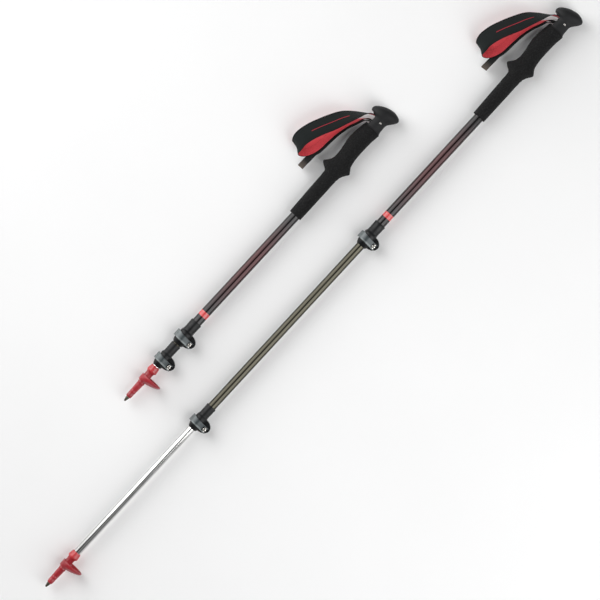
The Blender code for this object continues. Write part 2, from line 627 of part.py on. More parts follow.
def main():
    """Build the pair."""
    clear_scene()
    materials = make_materials()
    add_pole("right", materials, POLE_LENGTH, 0.0, stowed=False)
    add_pole("left", materials, STOWED_HEAD_END, POLE_SPACING, stowed=True)


main()
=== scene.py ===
"""Looks of a pair of three-section trekking poles with lever clamps.

Every sub-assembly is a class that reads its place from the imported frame, builds its fine
meshes and dresses them in procedural finishes. Lengths are in metres. A pole's own x runs
along the shaft from the tip to the top of the head; y points to the wrist-strap side and z up.
"""
import logging
import math
from dataclasses import dataclass
from enum import Enum
from typing import Sequence

import bmesh
import bpy
from mathutils import Matrix, Vector


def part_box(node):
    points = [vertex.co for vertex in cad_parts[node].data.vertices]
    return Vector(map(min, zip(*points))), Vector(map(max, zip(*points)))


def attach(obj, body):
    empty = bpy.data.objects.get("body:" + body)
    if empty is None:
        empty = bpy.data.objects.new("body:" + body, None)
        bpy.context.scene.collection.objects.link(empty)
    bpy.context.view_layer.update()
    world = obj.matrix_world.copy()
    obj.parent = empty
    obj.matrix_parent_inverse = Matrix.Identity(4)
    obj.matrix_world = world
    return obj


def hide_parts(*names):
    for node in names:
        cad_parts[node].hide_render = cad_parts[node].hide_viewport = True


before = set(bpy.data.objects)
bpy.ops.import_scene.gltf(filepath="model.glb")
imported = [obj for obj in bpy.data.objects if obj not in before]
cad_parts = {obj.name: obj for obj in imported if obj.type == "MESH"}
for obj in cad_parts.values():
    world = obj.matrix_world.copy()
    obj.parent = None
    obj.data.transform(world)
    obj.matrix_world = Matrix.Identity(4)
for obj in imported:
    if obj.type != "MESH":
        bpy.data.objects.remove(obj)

for leftover in ("Cube", "Light", "Camera"):
    if leftover in bpy.data.objects:
        bpy.data.objects.remove(bpy.data.objects[leftover])
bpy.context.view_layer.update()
LOG = logging.getLogger("trekking_poles")

MM = 0.001
Point = tuple[float, float]


class Side(Enum):
    """The two poles of the pair."""

    DRAWN_OUT = "right"
    PUSHED_IN = "left"


class Section(Enum):
    """The three telescoping sections of a pole."""

    UPPER = "upper"
    MIDDLE = "middle"
    LOWER = "lower"


# ------------------------------------------------------------------ materials


class ShaderGraph:
    """A material's node tree with short ways to add and join nodes."""

    def __init__(self, name: str) -> None:
        """Start a material.

        Args:
            name: the material's name.
        """
        self.material = bpy.data.materials.new(name)
        self.material.use_nodes = True
        self.tree = self.material.node_tree
        self.shader = self.tree.nodes["Principled BSDF"]

    def node(self, kind: str, **settings: object) -> bpy.types.Node:
        """Add a node.

        Args:
            kind: the node's type name after "ShaderNode".
            **settings: the node's properties.

        Returns:
            The new node.
        """
        made = self.tree.nodes.new("ShaderNode" + kind)
        for key, value in settings.items():
            setattr(made, key, value)
        return made

    def join(self, output: bpy.types.NodeSocket, target: bpy.types.NodeSocket) -> None:
        """Link an output to an input."""
        self.tree.links.new(output, target)

    def set(self, **values: object) -> None:
        """Set the shader's own sockets, with underscores for the blanks in their names."""
        for key, value in values.items():
            self.shader.inputs[key.replace("_", " ")].default_value = value

    def place(self, scale: Sequence[float], centre: Sequence[float] = (0, 0, 0)) -> bpy.types.NodeSocket:
        """Scaled object coordinates.

        Args:
            scale: the pattern's repeats per metre on each axis.
            centre: the point of the object that becomes the pattern's origin.

        Returns:
            The vector output.
        """
        coordinates = self.node("TexCoord")
        mapping = self.node("Mapping")
        mapping.inputs["Scale"].default_value = scale
        mapping.inputs["Location"].default_value = [-c * s for c, s in zip(centre, scale)]
        self.join(coordinates.outputs["Object"], mapping.inputs["Vector"])
        return mapping.outputs["Vector"]

    def noise(self, vector: bpy.types.NodeSocket, detail: float = 3.0) -> bpy.types.NodeSocket:
        """A noise value.

        Args:
            vector: where the noise is read.
            detail: octaves of finer noise.

        Returns:
            The value output.
        """
        made = self.node("TexNoise")
        made.inputs["Scale"].default_value = 1.0
        made.inputs["Detail"].default_value = detail
        self.join(vector, made.inputs["Vector"])
        return made.outputs["Fac"]

    def ramp(self, value: bpy.types.NodeSocket, stops: Sequence[tuple[float, Sequence[float]]]
             ) -> bpy.types.NodeSocket:
        """Colours along a value.

        Args:
            value: the factor.
            stops: position and colour of each stop, in rising order.

        Returns:
            The colour output.
        """
        made = self.node("ValToRGB")
        elements = made.color_ramp.elements
        while len(elements) < len(stops):
            elements.new(0.5)
        for element, (position, colour) in zip(elements, stops):
            element.position = position
            element.color = (*colour, 1.0)
        self.join(value, made.inputs["Fac"])
        return made.outputs["Color"]

    def rescale(self, value: bpy.types.NodeSocket, low: float, high: float, new_low: float, new_high: float
                ) -> bpy.types.NodeSocket:
        """Map a value from one range to another.

        Args:
            value: the value to map; it is held within its range.
            low: where its range starts.
            high: where its range ends.
            new_low: the result at low.
            new_high: the result at high.

        Returns:
            The mapped value's output.
        """
        made = self.node("MapRange")
        limits = {"From Min": low, "From Max": high, "To Min": new_low, "To Max": new_high}
        for key, number in limits.items():
            made.inputs[key].default_value = number
        self.join(value, made.inputs["Value"])
        return made.outputs["Result"]

    def math(self, operation: str, first: bpy.types.NodeSocket, second: object = None
             ) -> bpy.types.NodeSocket:
        """A sum or comparison.

        Args:
            operation: the math node's operation.
            first: the first operand.
            second: the second operand, a number or an output, where the operation has one.

        Returns:
            The result's output.
        """
        made = self.node("Math", operation=operation)
        self.join(first, made.inputs[0])
        if isinstance(second, bpy.types.NodeSocket):
            self.join(second, made.inputs[1])
        elif second is not None:
            made.inputs[1].default_value = second
        return made.outputs[0]

    def mix(self, factor: bpy.types.NodeSocket, first: object, second: object) -> bpy.types.NodeSocket:
        """Blend two colours.

        Args:
            factor: the second colour's share.
            first: the first colour, an RGB triple or an output.
            second: the second colour, likewise.

        Returns:
            The colour output.
        """
        made = self.node("Mix", data_type="RGBA")
        self.join(factor, made.inputs["Factor"])
        for socket, value in ((made.inputs[6], first), (made.inputs[7], second)):
            if isinstance(value, bpy.types.NodeSocket):
                self.join(value, socket)
            else:
                socket.default_value = (*value, 1.0)
        return made.outputs[2]

    def bump(self, height: bpy.types.NodeSocket, strength: float, distance: float) -> None:
        """Feed a height to the shader's normal.

        Args:
            height: the height value, 0 to 1.
            strength: how strongly it shades.
            distance: the height of 1, in metres.
        """
        made = self.node("Bump")
        made.inputs["Strength"].default_value = strength
        made.inputs["Distance"].default_value = distance
        self.join(height, made.inputs["Height"])
        self.join(made.outputs["Normal"], self.shader.inputs["Normal"])


@dataclass(frozen=True)
class TubeFinish:
    """Polished, anodised tube with fine draw lines along its length."""

    name: str
    colour: tuple[float, float, float]
    roughness: float
    metallic: float = 1.0
    line_depth: float = 0.05

    def build(self) -> bpy.types.Material:
        """Build the node graph.

        Returns:
            The material.
        """
        graph = ShaderGraph(self.name)
        lines = graph.noise(graph.place((9.0, 2600.0, 2600.0)), detail=2.0)
        clouds = graph.noise(graph.place((30.0, 90.0, 90.0)))
        shade = graph.rescale(lines, 0.3, 0.7, 0.86, 1.0)
        dark = tuple(0.8 * c for c in self.colour)
        graph.join(graph.mix(shade, dark, self.colour), graph.shader.inputs["Base Color"])
        rough = graph.rescale(clouds, 0.3, 0.7, self.roughness * 0.85, self.roughness * 1.25)
        graph.join(rough, graph.shader.inputs["Roughness"])
        graph.set(Metallic=self.metallic)
        graph.bump(lines, self.line_depth, 0.00005)
        return graph.material


@dataclass(frozen=True)
class FadedTubeFinish:
    """Gloss black tube that fades to dark red along its middle, with one light red painted ring."""

    name: str
    start: float
    end: float
    ring_centre: float
    ring_half: float = 4.9 * MM
    black: tuple[float, float, float] = (0.012, 0.0115, 0.012)
    red: tuple[float, float, float] = (0.034, 0.0075, 0.0085)
    ring: tuple[float, float, float] = (0.62, 0.06, 0.062)

    def build(self) -> bpy.types.Material:
        """Build the node graph.

        Returns:
            The material.
        """
        graph = ShaderGraph(self.name)
        along = graph.node("SeparateXYZ")
        graph.join(graph.place((1.0, 1.0, 1.0), centre=(self.start, 0, 0)), along.inputs["Vector"])
        distance = along.outputs["X"]
        share = graph.rescale(distance, 0.0, self.end - self.start, 0.0, 1.0)
        fade = graph.ramp(share, [(0.0, self.black), (0.2, self.black), (0.5, self.red), (0.68, self.red),
                                  (0.95, self.black)])
        lines = graph.noise(graph.place((9.0, 2400.0, 2400.0)), detail=2.0)
        worn = graph.mix(graph.rescale(lines, 0.35, 0.75, 0.0, 0.2), fade, (0.04, 0.036, 0.036))
        offset = graph.math("ABSOLUTE", graph.math("SUBTRACT", distance, self.ring_centre - self.start))
        inside = graph.rescale(offset, self.ring_half + 0.15 * MM, self.ring_half - 0.15 * MM, 0.0, 1.0)
        graph.join(graph.mix(inside, worn, self.ring), graph.shader.inputs["Base Color"])
        metal = graph.rescale(inside, 0.0, 1.0, 0.75, 0.0)
        graph.join(metal, graph.shader.inputs["Metallic"])
        rough = graph.rescale(graph.noise(graph.place((30.0, 90.0, 90.0))), 0.3, 0.7, 0.14, 0.22)
        graph.join(rough, graph.shader.inputs["Roughness"])
        graph.set(Coat_Weight=0.25, Coat_Roughness=0.1)
        graph.bump(lines, 0.05, 0.00005)
        return graph.material


@dataclass(frozen=True)
class MouldedFinish:
    """Injection-moulded plastic or rubber with a fine spark-eroded grain and faint handling wear."""

    name: str
    colour: tuple[float, float, float]
    roughness: float
    grain: float = 2600.0
    grain_depth: float = 0.12
    lift: float = 1.35
    coat: float = 0.0
    specular: float = 0.5

    def build(self) -> bpy.types.Material:
        """Build the node graph.

        Returns:
            The material.
        """
        graph = ShaderGraph(self.name)
        grain = graph.noise(graph.place((self.grain,) * 3), detail=2.0)
        clouds = graph.noise(graph.place((70.0, 70.0, 70.0)), detail=4.0)
        light = tuple(min(1.0, self.lift * c + 0.004) for c in self.colour)
        graph.join(graph.mix(graph.rescale(clouds, 0.35, 0.7, 0.0, 1.0), self.colour, light),
                   graph.shader.inputs["Base Color"])
        rough = graph.rescale(clouds, 0.3, 0.7, self.roughness - 0.06, self.roughness + 0.08)
        graph.join(rough, graph.shader.inputs["Roughness"])
        graph.set(Coat_Weight=self.coat, Coat_Roughness=0.25, Specular_IOR_Level=self.specular)
        graph.bump(grain, self.grain_depth, 0.0001)
        return graph.material


@dataclass(frozen=True)
class LeverFinish:
    """Satin grey anodised lever, with a painted highlight along its nose edge and at its free end."""

    name: str
    centre: tuple[float, float, float]
    edge_half: float = 6.6 * MM
    grey: tuple[float, float, float] = (0.045, 0.057, 0.061)
    # painted highlight colour, mixed in along the nose edge and at the free end
    light: tuple[float, float, float] = (0.2, 0.225, 0.225)

    def build(self) -> bpy.types.Material:
        """Build the node graph.

        Returns:
            The material.
        """
        graph = ShaderGraph(self.name)
        split = graph.node("SeparateXYZ")
        graph.join(graph.place((1.0, 1.0, 1.0), centre=self.centre), split.inputs["Vector"])
        across, along = split.outputs["X"], split.outputs["Y"]
        # Painted highlight: the grey turns lighter along the nose edge and over the free end, broken up by noise
        # that also varies the roughness.
        nose_edge_highlight = graph.rescale(across, -0.36 * self.edge_half, -0.62 * self.edge_half, 0.0, 0.75)
        free_end_highlight = graph.rescale(along, 4.0 * MM, 12.0 * MM, 0.0, 0.5)
        scuff_and_highlight_noise = graph.noise(graph.place((420.0, 90.0, 420.0)), detail=5.0)
        share = graph.math("MULTIPLY", graph.math("MAXIMUM", nose_edge_highlight, free_end_highlight),
                           graph.rescale(scuff_and_highlight_noise, 0.3, 0.6, 0.75, 1.1))
        graph.join(graph.mix(share, self.grey, self.light), graph.shader.inputs["Base Color"])
        graph.join(graph.rescale(scuff_and_highlight_noise, 0.3, 0.7, 0.3, 0.42), graph.shader.inputs["Roughness"])
        graph.set(Metallic=0.2, Coat_Weight=0.15, Coat_Roughness=0.25)
        graph.bump(graph.noise(graph.place((3200.0,) * 3), detail=2.0), 0.08, 0.00006)
        return graph.material


@dataclass(frozen=True)
class FoamFinish:
    """Closed-cell foam: matte, with small open cells at its sanded skin."""

    name: str
    colour: tuple[float, float, float] = (0.0062, 0.0062, 0.0065)
    cell: float = 1100.0

    def build(self) -> bpy.types.Material:
        """Build the node graph.

        Returns:
            The material.
        """
        graph = ShaderGraph(self.name)
        cells = graph.node("TexVoronoi")
        cells.inputs["Scale"].default_value = 1.0
        graph.join(graph.place((self.cell,) * 3), cells.inputs["Vector"])
        specks = graph.noise(graph.place((420.0,) * 3), detail=6.0)
        height = graph.math("MULTIPLY", cells.outputs["Distance"], specks)
        tone = graph.ramp(specks, [(0.32, tuple(0.7 * c for c in self.colour)), (0.5, self.colour),
                                   (0.66, tuple(2.2 * c for c in self.colour))])
        graph.join(tone, graph.shader.inputs["Base Color"])
        graph.set(Roughness=0.8, Specular_IOR_Level=0.22, Sheen_Weight=0.01, Sheen_Roughness=0.6)
        graph.bump(height, 1.0, 0.0011)
        return graph.material


@dataclass(frozen=True)
class BrightFinish:
    """Plated steel or hard metal with turned tool marks."""

    name: str
    colour: tuple[float, float, float]
    roughness: float
    metallic: float = 1.0

    def build(self) -> bpy.types.Material:
        """Build the node graph.

        Returns:
            The material.
        """
        graph = ShaderGraph(self.name)
        marks = graph.noise(graph.place((1800.0, 700.0, 700.0)), detail=4.0)
        dark = tuple(0.72 * c for c in self.colour)
        graph.join(graph.mix(graph.rescale(marks, 0.3, 0.65, 0.0, 1.0), dark, self.colour),
                   graph.shader.inputs["Base Color"])
        graph.join(graph.rescale(marks, 0.3, 0.7, self.roughness - 0.05, self.roughness + 0.1),
                   graph.shader.inputs["Roughness"])
        graph.set(Metallic=self.metallic)
        graph.bump(marks, 0.08, 0.00005)
        return graph.material


@dataclass(frozen=True)
class WovenFinish:
    """Woven cloth that follows the piece's UV map, whose units are metres along and across.

    A stripe of another colour may run along the middle, between two distances along the
    strap, and the first stretch may be tinted, as the heat-cut end of a webbing is.
    """

    name: str
    colour: tuple[float, float, float]
    thread: float
    depth: float = 0.5
    stripe: tuple[float, float, float] | None = None
    stripe_from: float = 0.0
    stripe_to: float = 0.0
    stripe_half: float = 0.45 * MM
    end_tint: tuple[float, float, float] | None = None
    tint_length: float = 16 * MM
    sheen: float = 0.3

    def build(self) -> bpy.types.Material:
        """Build the node graph.

        Returns:
            The material.
        """
        graph = ShaderGraph(self.name)
        uv = graph.node("UVMap", uv_map="along")
        split = graph.node("SeparateXYZ")
        graph.join(uv.outputs["UV"], split.inputs["Vector"])
        along, across = split.outputs["X"], split.outputs["Y"]
        waves = []
        for axis in (along, across):
            phase = graph.math("MULTIPLY", axis, math.tau / self.thread)
            waves.append(graph.math("SINE", phase))
        crossing = graph.math("MULTIPLY", waves[0], waves[1])
        height = graph.rescale(crossing, -1.0, 1.0, 0.0, 1.0)
        fuzz = graph.noise(graph.place((900.0,) * 3), detail=4.0)
        tone = graph.math("MULTIPLY", graph.rescale(height, 0.0, 1.0, 0.35, 1.1),
                          graph.rescale(fuzz, 0.3, 0.7, 0.75, 1.1))
        colour = graph.mix(tone, tuple(0.3 * c for c in self.colour), tuple(1.25 * c for c in self.colour))
        if self.stripe:
            near = graph.math("ABSOLUTE", across)
            line = graph.rescale(near, self.stripe_half + 0.12 * MM, self.stripe_half - 0.12 * MM, 0.0, 1.0)
            begun = graph.math("GREATER_THAN", along, self.stripe_from)
            ended = graph.math("LESS_THAN", along, self.stripe_to)
            shown = graph.math("MULTIPLY", line, graph.math("MULTIPLY", begun, ended))
            colour = graph.mix(shown, colour, self.stripe)
        if self.end_tint:
            near_end = graph.rescale(along, 0.0, self.tint_length, 0.8, 0.0)
            colour = graph.mix(near_end, colour, self.end_tint)
        graph.join(colour, graph.shader.inputs["Base Color"])
        graph.set(Roughness=0.85, Specular_IOR_Level=0.25, Sheen_Weight=self.sheen, Sheen_Roughness=0.45)
        graph.bump(height, self.depth, 0.0004)
        return graph.material


# ------------------------------------------------------------------ shapes

# A pole's own frame is in millimetres; a mesh becomes metres when its piece is made.
FIT = 0.3
TUBE_SIDES = 96
FINE_SIDES = 48


def turned(profile: Sequence[Point], sides: int = TUBE_SIDES, closed: bool = False) -> bmesh.types.BMesh:
    """Spin a profile about the x axis.

    Args:
        profile: (x, radius) points.
        sides: facets round the axis.
        closed: whether the last point joins the first, as on a tube.

    Returns:
        The spun mesh.
    """
    bm = bmesh.new()
    verts = [bm.verts.new((x, 0.0, radius)) for x, radius in profile]
    edges = [bm.edges.new(pair) for pair in zip(verts, verts[1:])]
    if closed:
        edges.append(bm.edges.new((verts[-1], verts[0])))
    bmesh.ops.spin(bm, geom=verts + edges, cent=(0, 0, 0), axis=(1, 0, 0), angle=math.tau, steps=sides,
                   use_merge=True)
    return bm


def lofted(rings: Sequence[Sequence[Vector]], closed: bool = False, along: Sequence[float] = (),
           across: Sequence[Sequence[float]] = (), materials: Sequence[int] = ()) -> bmesh.types.BMesh:
    """Grow a skin from ring to ring by extruding a circle's edges.

    Args:
        rings: the outlines, with equal point counts.
        closed: whether the skin returns to its first ring; else its ends are filled.
        along: distance of each ring along the piece, for the UV map "along".
        across: distance of each ring's points from the middle line, for the same map.
        materials: material index of the faces that start at each of a ring's points.

    Returns:
        The grown mesh.
    """
    bm = bmesh.new()
    ring = bmesh.ops.create_circle(bm, segments=len(rings[0]), radius=1.0)["verts"]
    place = {}
    for i, (vert, point) in enumerate(zip(ring, rings[0])):
        vert.co = point
        place[vert] = (0, i)
    edges = first_edges = bm.edges[:]
    for row, points in enumerate(rings[1:] + (rings[:1] if closed else []), start=1):
        grown = bmesh.ops.extrude_edge_only(bm, edges=edges)["geom"]
        fresh = {item for item in grown if isinstance(item, bmesh.types.BMVert)}
        for vert in fresh:
            old = next(e.other_vert(vert) for e in vert.link_edges if e.other_vert(vert) not in fresh)
            place[vert] = (row, place[old][1])
            vert.co = points[place[old][1]]
        edges = [item for item in grown if isinstance(item, bmesh.types.BMEdge) and set(item.verts) <= fresh]
    if along:
        layer = bm.loops.layers.uv.new("along")
        for face in bm.faces:
            for loop in face.loops:
                row, column = place[loop.vert]
                loop[layer].uv = (along[row] * MM, across[row % len(rings)][column] * MM)
    if materials:
        for face in bm.faces:
            columns = sorted({place[vert][1] for vert in face.verts})
            wraps = columns[-1] - columns[0] > 1
            face.material_index = materials[columns[-1] if wraps else columns[0]]
    if not closed:
        bmesh.ops.edgeloop_fill(bm, edges=first_edges)
        bmesh.ops.edgeloop_fill(bm, edges=edges)
    return bm


def prism(outline: Sequence[Point], half_width: float, centre_x: float) -> bmesh.types.BMesh:
    """Extrude an outline along x.

    Args:
        outline: (y, z) points.
        half_width: how far it reaches to either side.
        centre_x: the middle of its width.

    Returns:
        The solid.
    """
    bm = bmesh.new()
    face = bm.faces.new([bm.verts.new((centre_x - half_width, y, z)) for y, z in outline])
    grown = bmesh.ops.extrude_face_region(bm, geom=[face])["geom"]
    moved = [item for item in grown if isinstance(item, bmesh.types.BMVert)]
    bmesh.ops.translate(bm, verts=moved, vec=(2 * half_width, 0, 0))
    return bm


def rod(centre: Sequence[float], axis: str, length: float, radius: float, sides: int = FINE_SIDES
        ) -> bmesh.types.BMesh:
    """A solid cylinder.

    Args:
        centre: its middle.
        axis: "x" or "z".
        length: its whole length.
        radius: its radius.
        sides: facets round it.

    Returns:
        The cylinder.
    """
    bm = bmesh.new()
    turn = Matrix.Rotation(math.pi / 2, 4, "Y") if axis == "x" else Matrix.Identity(4)
    bmesh.ops.create_cone(bm, cap_ends=True, segments=sides, radius1=radius, radius2=radius, depth=length,
                          matrix=Matrix.Translation(centre) @ turn)
    return bm


def block(low: Sequence[float], high: Sequence[float]) -> bmesh.types.BMesh:
    """A box.

    Args:
        low: its lowest corner.
        high: its highest corner.

    Returns:
        The box.
    """
    bm = bmesh.new()
    low, high = Vector(low), Vector(high)
    bmesh.ops.create_cube(bm, size=1.0, matrix=Matrix.Translation((low + high) / 2)
                          @ Matrix.Diagonal((*(high - low), 1.0)))
    return bm


def arc(centre: Point, radius: float, start: float, end: float, steps: int) -> list[Point]:
    """Points on an arc in the (y, z) plane.

    Args:
        centre: the arc's centre.
        radius: its radius.
        start: the first point's angle, in degrees from +y towards +z.
        end: the last point's angle.
        steps: number of chords.

    Returns:
        The points, with both ends.
    """
    angles = [math.radians(start + (end - start) * step / steps) for step in range(steps + 1)]
    return [(centre[0] + radius * math.cos(a), centre[1] + radius * math.sin(a)) for a in angles]


def smooth_step(value: float, low: float, high: float) -> float:
    """A smooth rise from 0 to 1.

    Args:
        value: where the rise is read.
        low: where it leaves 0.
        high: where it reaches 1.

    Returns:
        The share, 0 to 1.
    """
    share = min(1.0, max(0.0, (value - low) / (high - low)))
    return share * share * (3.0 - 2.0 * share)


def spline(points: Sequence[Sequence[float]], closed: bool, steps: int) -> list[list[float]]:
    """Catmull-Rom curve through tuples of numbers.

    Args:
        points: tuples of equal length.
        closed: whether the curve returns to its first point.
        steps: samples from one point to the next.

    Returns:
        The samples.
    """
    count = len(points)
    samples = []
    for span in range(count if closed else count - 1):
        index = [(span + k) % count if closed else min(max(span + k, 0), count - 1) for k in (-1, 0, 1, 2)]
        p0, p1, p2, p3 = (points[i] for i in index)
        for step in range(steps):
            t = step / steps
            samples.append([0.5 * (2 * b + (c - a) * t + (2 * a - 5 * b + 4 * c - d) * t ** 2
                                   + (3 * b - a - 3 * c + d) * t ** 3) for a, b, c, d in zip(p0, p1, p2, p3)])
    if not closed:
        samples.append(list(points[-1]))
    return samples


# ------------------------------------------------------------------ pieces


@dataclass(frozen=True)
class Mount:
    """Where one section of a pole lies and which body carries its pieces."""

    side: Side
    section: Section
    origin: Vector

    def node(self, name: str) -> str:
        """The full node name of one of this pole's pieces."""
        return f"{self.side.value}_{name}"

    def piece(self, bm: bmesh.types.BMesh, name: str, body: str, slot: str,
              materials: Sequence[bpy.types.Material], replaced: Sequence[str] | None = None,
              bevel: float = 0.0, carved: Sequence[bmesh.types.BMesh] = (),
              joined: Sequence[bmesh.types.BMesh] = (), crease: float = 35.0) -> bpy.types.Object:
        """Turn a mesh in the pole's own frame into a finished piece of the scene.

        Args:
            bm: the mesh, in millimetres.
            name: the piece's name, without the pole's side.
            body: the body that carries it, without the side.
            slot: the name of a material slot; it is not used.
            materials: the mesh's materials, by index.
            replaced: the nodes it stands for, without the side; by default the node of its own
                name, and none for an empty list.
            bevel: width of the rounding on its hard edges, in millimetres.
            carved: meshes that are cut out of it.
            joined: meshes that are joined to it.
            crease: angle above which an edge stays sharp, in degrees.

        Returns:
            The piece.
        """
        made = self._object(bm, self.node(name) + "_detail")
        for tools, operation in ((joined, "UNION"), (carved, "DIFFERENCE")):
            for tool_mesh in tools:
                self._combine(made, self._object(tool_mesh, "tool"), operation)
        for material in materials:
            made.data.materials.append(material)
        made.data.shade_smooth()
        made.data.set_sharp_from_angle(angle=math.radians(crease))
        if bevel:
            rounding = made.modifiers.new("rounding", "BEVEL")
            rounding.width = bevel * MM
            rounding.segments = 3
            rounding.limit_method = "ANGLE"
            rounding.angle_limit = math.radians(crease)
            rounding.harden_normals = True
            rounding.use_clamp_overlap = True
        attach(made, self.node(body))
        names = (name,) if replaced is None else replaced
        if names:
            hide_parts(*(self.node(each) for each in names))
        LOG.info("made %s", made.name)
        return made

    def _object(self, bm: bmesh.types.BMesh, name: str) -> bpy.types.Object:
        """Place a mesh in the world and give it an object.

        Args:
            bm: the mesh, in millimetres; it is used up.
            name: the object's name.

        Returns:
            The object.
        """
        bmesh.ops.remove_doubles(bm, verts=bm.verts, dist=0.0005)
        bmesh.ops.recalc_face_normals(bm, faces=bm.faces)
        bmesh.ops.scale(bm, verts=bm.verts, vec=(MM, MM, MM))
        bmesh.ops.translate(bm, verts=bm.verts, vec=self.origin)
        mesh = bpy.data.meshes.new(name)
        bm.to_mesh(mesh)
        bm.free()
        made = bpy.data.objects.new(name, mesh)
        bpy.context.scene.collection.objects.link(made)
        return made

    @staticmethod
    def _combine(target: bpy.types.Object, tool: bpy.types.Object, operation: str) -> None:
        """Apply one Boolean to the target's mesh and remove the tool.

        Args:
            target: the piece.
            tool: what is joined to it or cut out of it.
            operation: "UNION" or "DIFFERENCE".
        """
        step = target.modifiers.new("combine", "BOOLEAN")
        step.operation = operation
        step.solver = "EXACT"
        step.object = tool
        bpy.context.view_layer.update()
        evaluated = target.evaluated_get(bpy.context.evaluated_depsgraph_get())
        result = bpy.data.meshes.new_from_object(evaluated)
        target.modifiers.remove(step)
        target.data = result
        bpy.data.objects.remove(tool)


@dataclass(frozen=True)
class Finishes:
    """The pair's materials."""

    red: bpy.types.Material
    red_collar: bpy.types.Material
    carbide: bpy.types.Material
    silver: bpy.types.Material
    graphite: bpy.types.Material
    black_plastic: bpy.types.Material
    steel: bpy.types.Material
    foam: bpy.types.Material
    rubber: bpy.types.Material
    band: bpy.types.Material
    lining: bpy.types.Material
    binding: bpy.types.Material
    thread: bpy.types.Material
    webbing: bpy.types.Material

    @classmethod
    def build(cls) -> "Finishes":
        """Make the materials that both poles share.

        Returns:
            The materials.
        """
        return cls(
            red=MouldedFinish("red_nylon", (0.29, 0.011, 0.019), 0.36, coat=0.15).build(),
            red_collar=MouldedFinish("red_collar_nylon", (0.42, 0.028, 0.033), 0.34, coat=0.2).build(),
            carbide=BrightFinish("sintered_carbide", (0.16, 0.14, 0.11), 0.36).build(),
            silver=TubeFinish("polished_aluminium", (0.6, 0.6, 0.59), 0.12).build(),
            graphite=TubeFinish("graphite_aluminium", (0.056, 0.053, 0.041), 0.12).build(),
            black_plastic=MouldedFinish("black_nylon", (0.0038, 0.0043, 0.005), 0.36,
                                        specular=0.26).build(),
            steel=BrightFinish("zinc_plated_steel", (0.75, 0.73, 0.69), 0.22).build(),
            foam=FoamFinish("closed_cell_foam").build(),
            rubber=MouldedFinish("soft_touch_rubber", (0.0055, 0.0058, 0.0065), 0.62, grain=1500.0,
                                 grain_depth=0.25, lift=1.6, specular=0.3).build(),
            band=WovenFinish("band_outer_weave", (0.012, 0.0155, 0.0155), 1.3 * MM, depth=0.9,
                             stripe=(0.5, 0.03, 0.05), stripe_from=55 * MM, stripe_to=126 * MM,
                             sheen=0.05).build(),
            lining=WovenFinish("band_red_lining", (0.66, 0.06, 0.075), 0.9 * MM, sheen=0.15).build(),
            binding=WovenFinish("band_edge_binding", (0.01, 0.011, 0.011), 0.8 * MM, depth=0.7,
                                sheen=0.05).build(),
            thread=WovenFinish("sewing_thread", (0.016, 0.014, 0.015), 0.3 * MM, sheen=0.05).build(),
            webbing=WovenFinish("black_webbing", (0.012, 0.013, 0.013), 1.7 * MM, depth=1.0, sheen=0.05,
                                end_tint=(0.13, 0.105, 0.085)).build())


